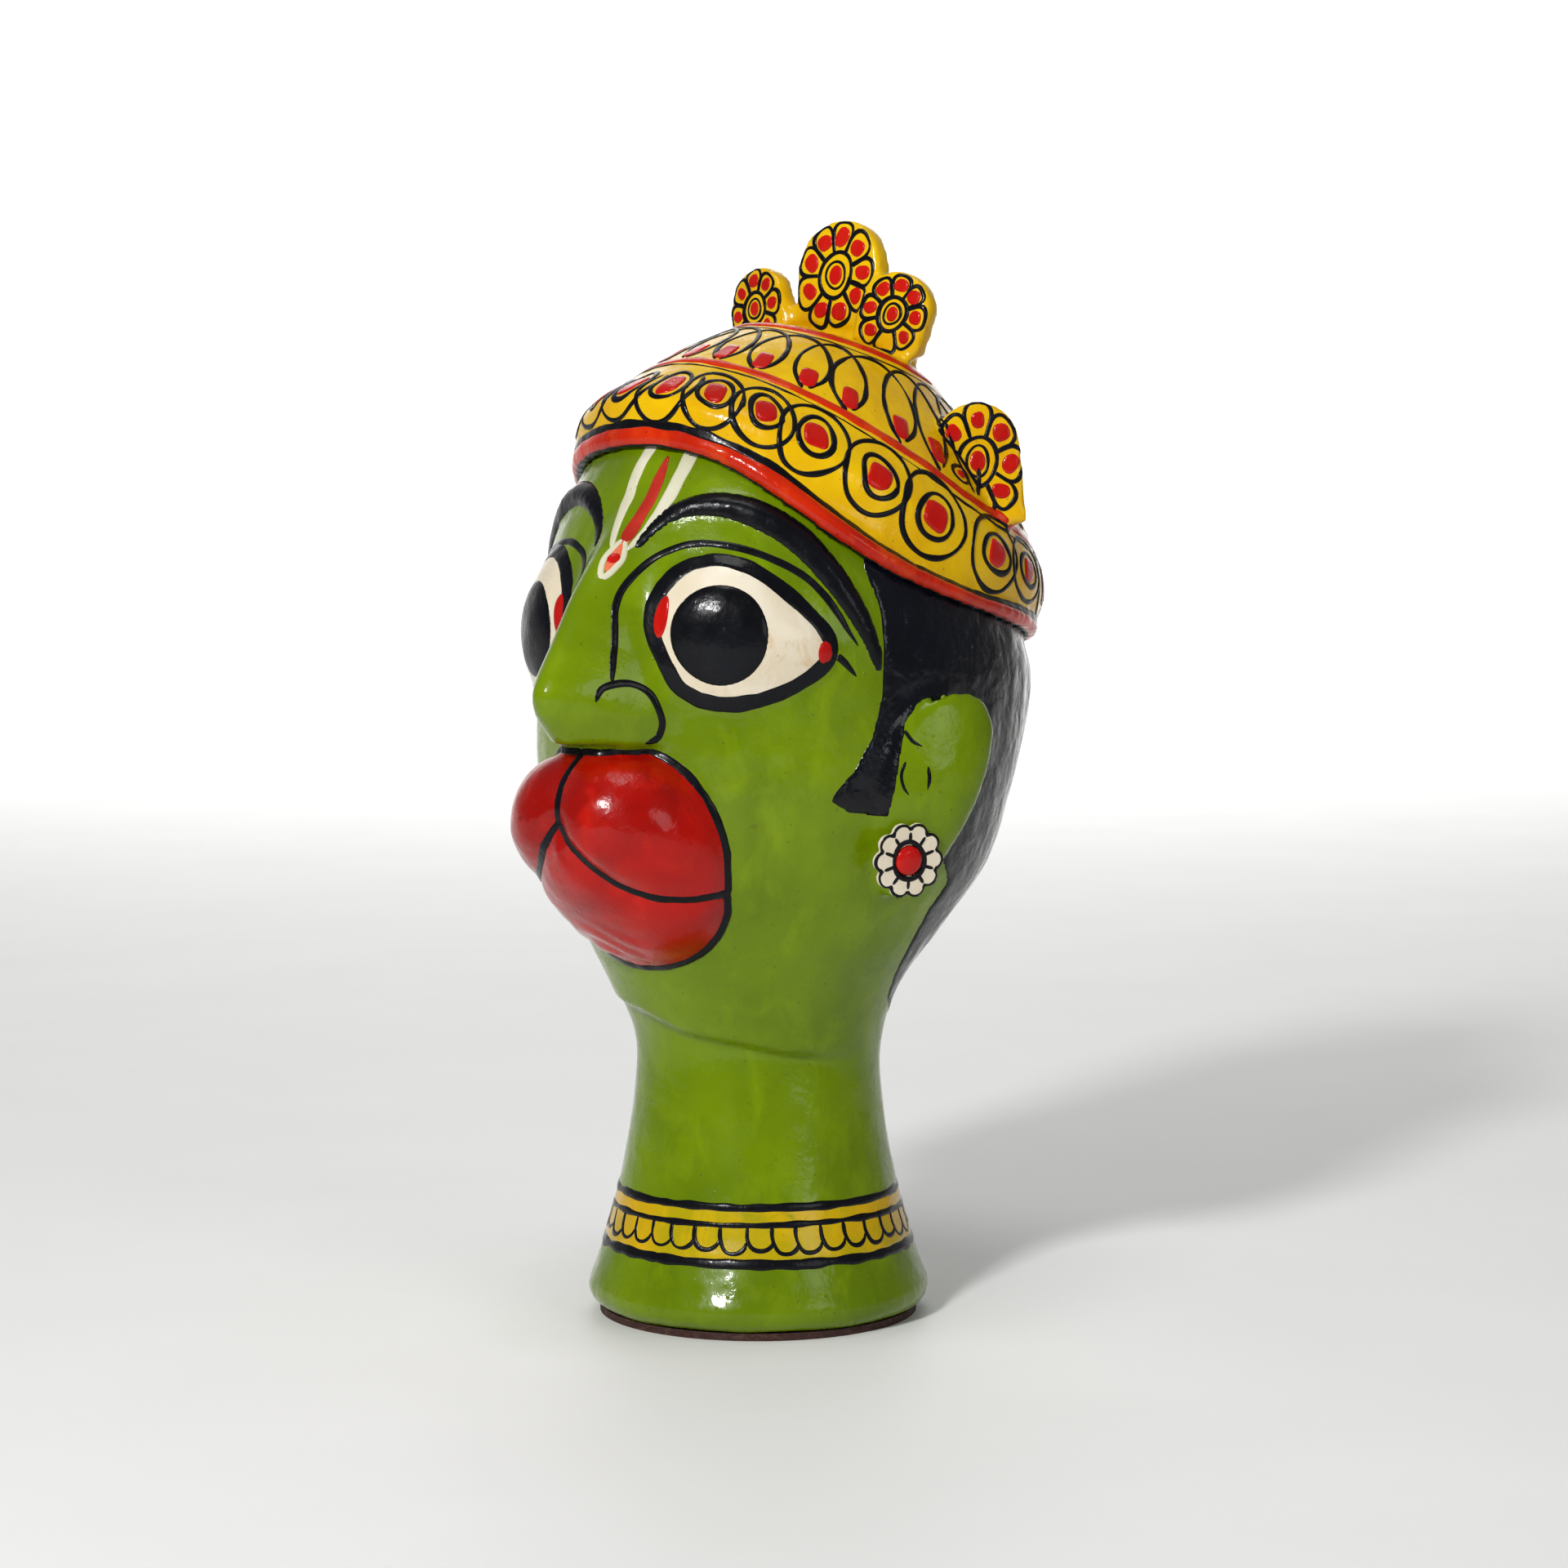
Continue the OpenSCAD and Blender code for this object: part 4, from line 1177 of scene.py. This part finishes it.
def rosette(ink, red, view, ra, rb, count, core):
    """A painted flower of radii ra and rb: a ringed core with a seed, and count petals with seeds."""
    def dot(*shape, **more):
        loop = oval(*shape, **more)
        if all(view(*q) for q in loop):
            red.dab(view, loop)

    ink.hoop(view, oval(0, 0, ra * core, rb * core, jitter=0.04), 1.1, wobble=0.5, step=0.5)
    ink.hoop(view, oval(0, 0, ra * core * 0.58, rb * core * 0.62, jitter=0.05), 0.7, wobble=0.5, step=0.5)
    dot(0, 0, ra * core * 0.42, rb * core * 0.46)
    step = 2 * math.pi / count
    edges = [math.pi / 2 + step * (i - 0.5 + rng.uniform(-0.12, 0.12)) for i in range(count)]
    edges.append(edges[0] + 2 * math.pi)
    shape = [(core, -1)] + [(r, -k) for r, k in PETAL_EDGE] + list(PETAL_EDGE[1::-1]) + [(core, 1)]
    for start, end in zip(edges, edges[1:]):
        reach = 1 + rng.uniform(-0.05, 0.03)
        half, b = (end - start) / 2, (start + end) / 2
        arc = [(ra * reach * r * math.cos(b + k * half), rb * reach * r * math.sin(b + k * half))
               for r, k in shape]
        drawn = [q for q in on(view, arc, steps=4) if q is not None]
        if len(drawn) > 6:
            ink.line(drawn, 1.0, tips=(0.2, 0.2), wobble=0.6, step=0.5)
        mid = (core + 1) / 2
        seed = min(ra, rb) * rng.uniform(0.16, 0.2)
        dot(ra * mid * math.cos(b), rb * mid * math.sin(b), seed, seed * 1.15, rng.uniform(0, 180), count=14,
            square=0.3, jitter=0.06)


def petal_frame(node):
    """Middle, facing, up, right, reach above the middle (mm) and width (mm) of a crest petal."""
    points = node_points(node)
    arms = points - points.mean(0)
    axes = np.linalg.svd(arms, full_matrices=False)[2]
    facing = Vector(axes[2])
    facing = facing if facing.y < 0 else -facing
    high = Vector(axes[0]) if abs(axes[0][2]) > abs(axes[1][2]) else Vector(axes[1])
    high = high if high.z > 0 else -high
    right = high.cross(facing)
    return (Vector(points.mean(0)), facing, high, right, (arms @ np.array(high)).max() / MM,
            np.ptp(arms @ np.array(right)) / MM)


def face_of(view, middle, facing, depth=3.2):
    """The same canvas, with None where the surface isn't the petal's own face."""
    def at(a, b):
        spot = view(a, b)
        return spot if 0 < (spot - middle).dot(facing) < depth * MM else None
    return at


# node, painted petals, height over width
ROSETTES = (("crest_centre", 9, 1.14), ("crest_left", 8, 1.12), ("crest_right", 8, 1.12),
            ("side_crest_left", 8, 1.25), ("side_crest_right", 8, 1.25))
WIDEST, MARGIN = 10.4, 0.5
petal_ink = Film("petal_lines", crown_tree, 0.16)
petal_red = Film("petal_dots", crown_tree, 0.2)
for node, count, aspect in ROSETTES:
    middle, facing, high, right, top, wide = petal_frame(node)
    half = min(wide / 2, WIDEST) - MARGIN
    tall = half * aspect
    view = local_canvas(crown_tree, middle + high * ((top - tall - MARGIN) * MM), facing, right)
    rosette(petal_ink, petal_red, face_of(view, middle, facing), half, tall, count, 0.42)
petal_ink.build(BLACK, "black_lacquer")
petal_red.build(RED_DOT, "red_lacquer")


# ---------------- stage
VIEW_TURN = 40              # the photograph is taken this far round from the front
FLOOR_FRONT, FLOOR_BACK, FLOOR_SIDE, BEND, WALL_TOP = -6.0, 2.0, 8, 1.2, 4.0        # metres
CENTRE = (0, 0.005, 0.11)
# name, place, target, size (metres), power (watts)
LIGHTS = (("key", (0.25, -1.2, 0.8), CENTRE, 0.2, 14),
          ("fill_right", (1.3, -0.2, 0.5), CENTRE, 0.5, 1.6),
          ("top", (0.1, -0.2, 1.4), CENTRE, 0.5, 3),
          ("backdrop", (-1.1, 1.3, 1.9), (-2.0, 2.4, 0.4), 1.0, 48))
WORLD_STRENGTH = 0.17
CAMERA_AT, CAMERA_AIM, LENS = (0.514, -0.613, 0.175), (0.0041, 0.0035, 0.1095), 89.1


def floor_material():
    """Pale, faintly mottled matt board."""
    s = Shade("pale_floor")
    colour = s.mixed(s.ranged(s.noise(60, 3), 0.3, 0.7, 0, 1), (0.9, 0.9, 0.89, 1), (0.92, 0.92, 0.91, 1))
    s.link(colour, s.bsdf.inputs["Base Color"])
    s.bsdf.inputs["Roughness"].default_value = 0.6
    return s.mat


def floor_and_backdrop():
    """A pale floor that curves up into a backdrop behind the object."""
    bm = bmesh.new()
    profile = [(FLOOR_FRONT, 0.0), (FLOOR_BACK, 0.0)]
    for k in range(1, 13):
        a = math.radians(90 * k / 12)
        profile.append((FLOOR_BACK + BEND * math.sin(a), BEND - BEND * math.cos(a)))
    profile.append((FLOOR_BACK + BEND, WALL_TOP))
    turn = math.radians(VIEW_TURN)
    across = Vector((math.cos(turn), math.sin(turn), 0))
    deep = Vector((-math.sin(turn), math.cos(turn), 0))
    rows = []
    for d, z in profile:
        rows.append([bm.verts.new(deep * d + across * x + UP * z) for x in (-FLOOR_SIDE, FLOOR_SIDE)])
    for a, b in zip(rows, rows[1:]):
        bm.faces.new((a[0], a[1], b[1], b[0]))
    floor = object_from(bm, "floor")
    floor.data.materials.append(floor_material())
    smooth_shade(floor.data)


def area_light(name, place, target, size, power):
    """A round soft light at place that faces target."""
    data = bpy.data.lights.new(name, "AREA")
    data.shape = "DISK"
    data.size = size
    data.energy = power
    lamp = link(bpy.data.objects.new(name, data))
    lamp.location = place
    lamp.rotation_euler = (Vector(target) - Vector(place)).to_track_quat("-Z", "Y").to_euler()


floor_and_backdrop()
for light in LIGHTS:
    area_light(*light)

world = bpy.data.worlds.new("pale_world")
bpy.context.scene.world = world
world.use_nodes = True
world.node_tree.nodes["Background"].inputs["Color"].default_value = (1, 1, 1, 1)
world.node_tree.nodes["Background"].inputs["Strength"].default_value = WORLD_STRENGTH
bpy.context.scene.view_settings.view_transform = "Standard"

lens = bpy.data.cameras.new("camera")
lens.sensor_width = 36
lens.lens = LENS
lens.clip_start = 0.01
camera = link(bpy.data.objects.new("camera", lens))
camera.location = CAMERA_AT
aim = Vector(CAMERA_AIM) - camera.location
camera.rotation_euler = aim.to_track_quat("-Z", "Y").to_euler()
bpy.context.scene.camera = camera
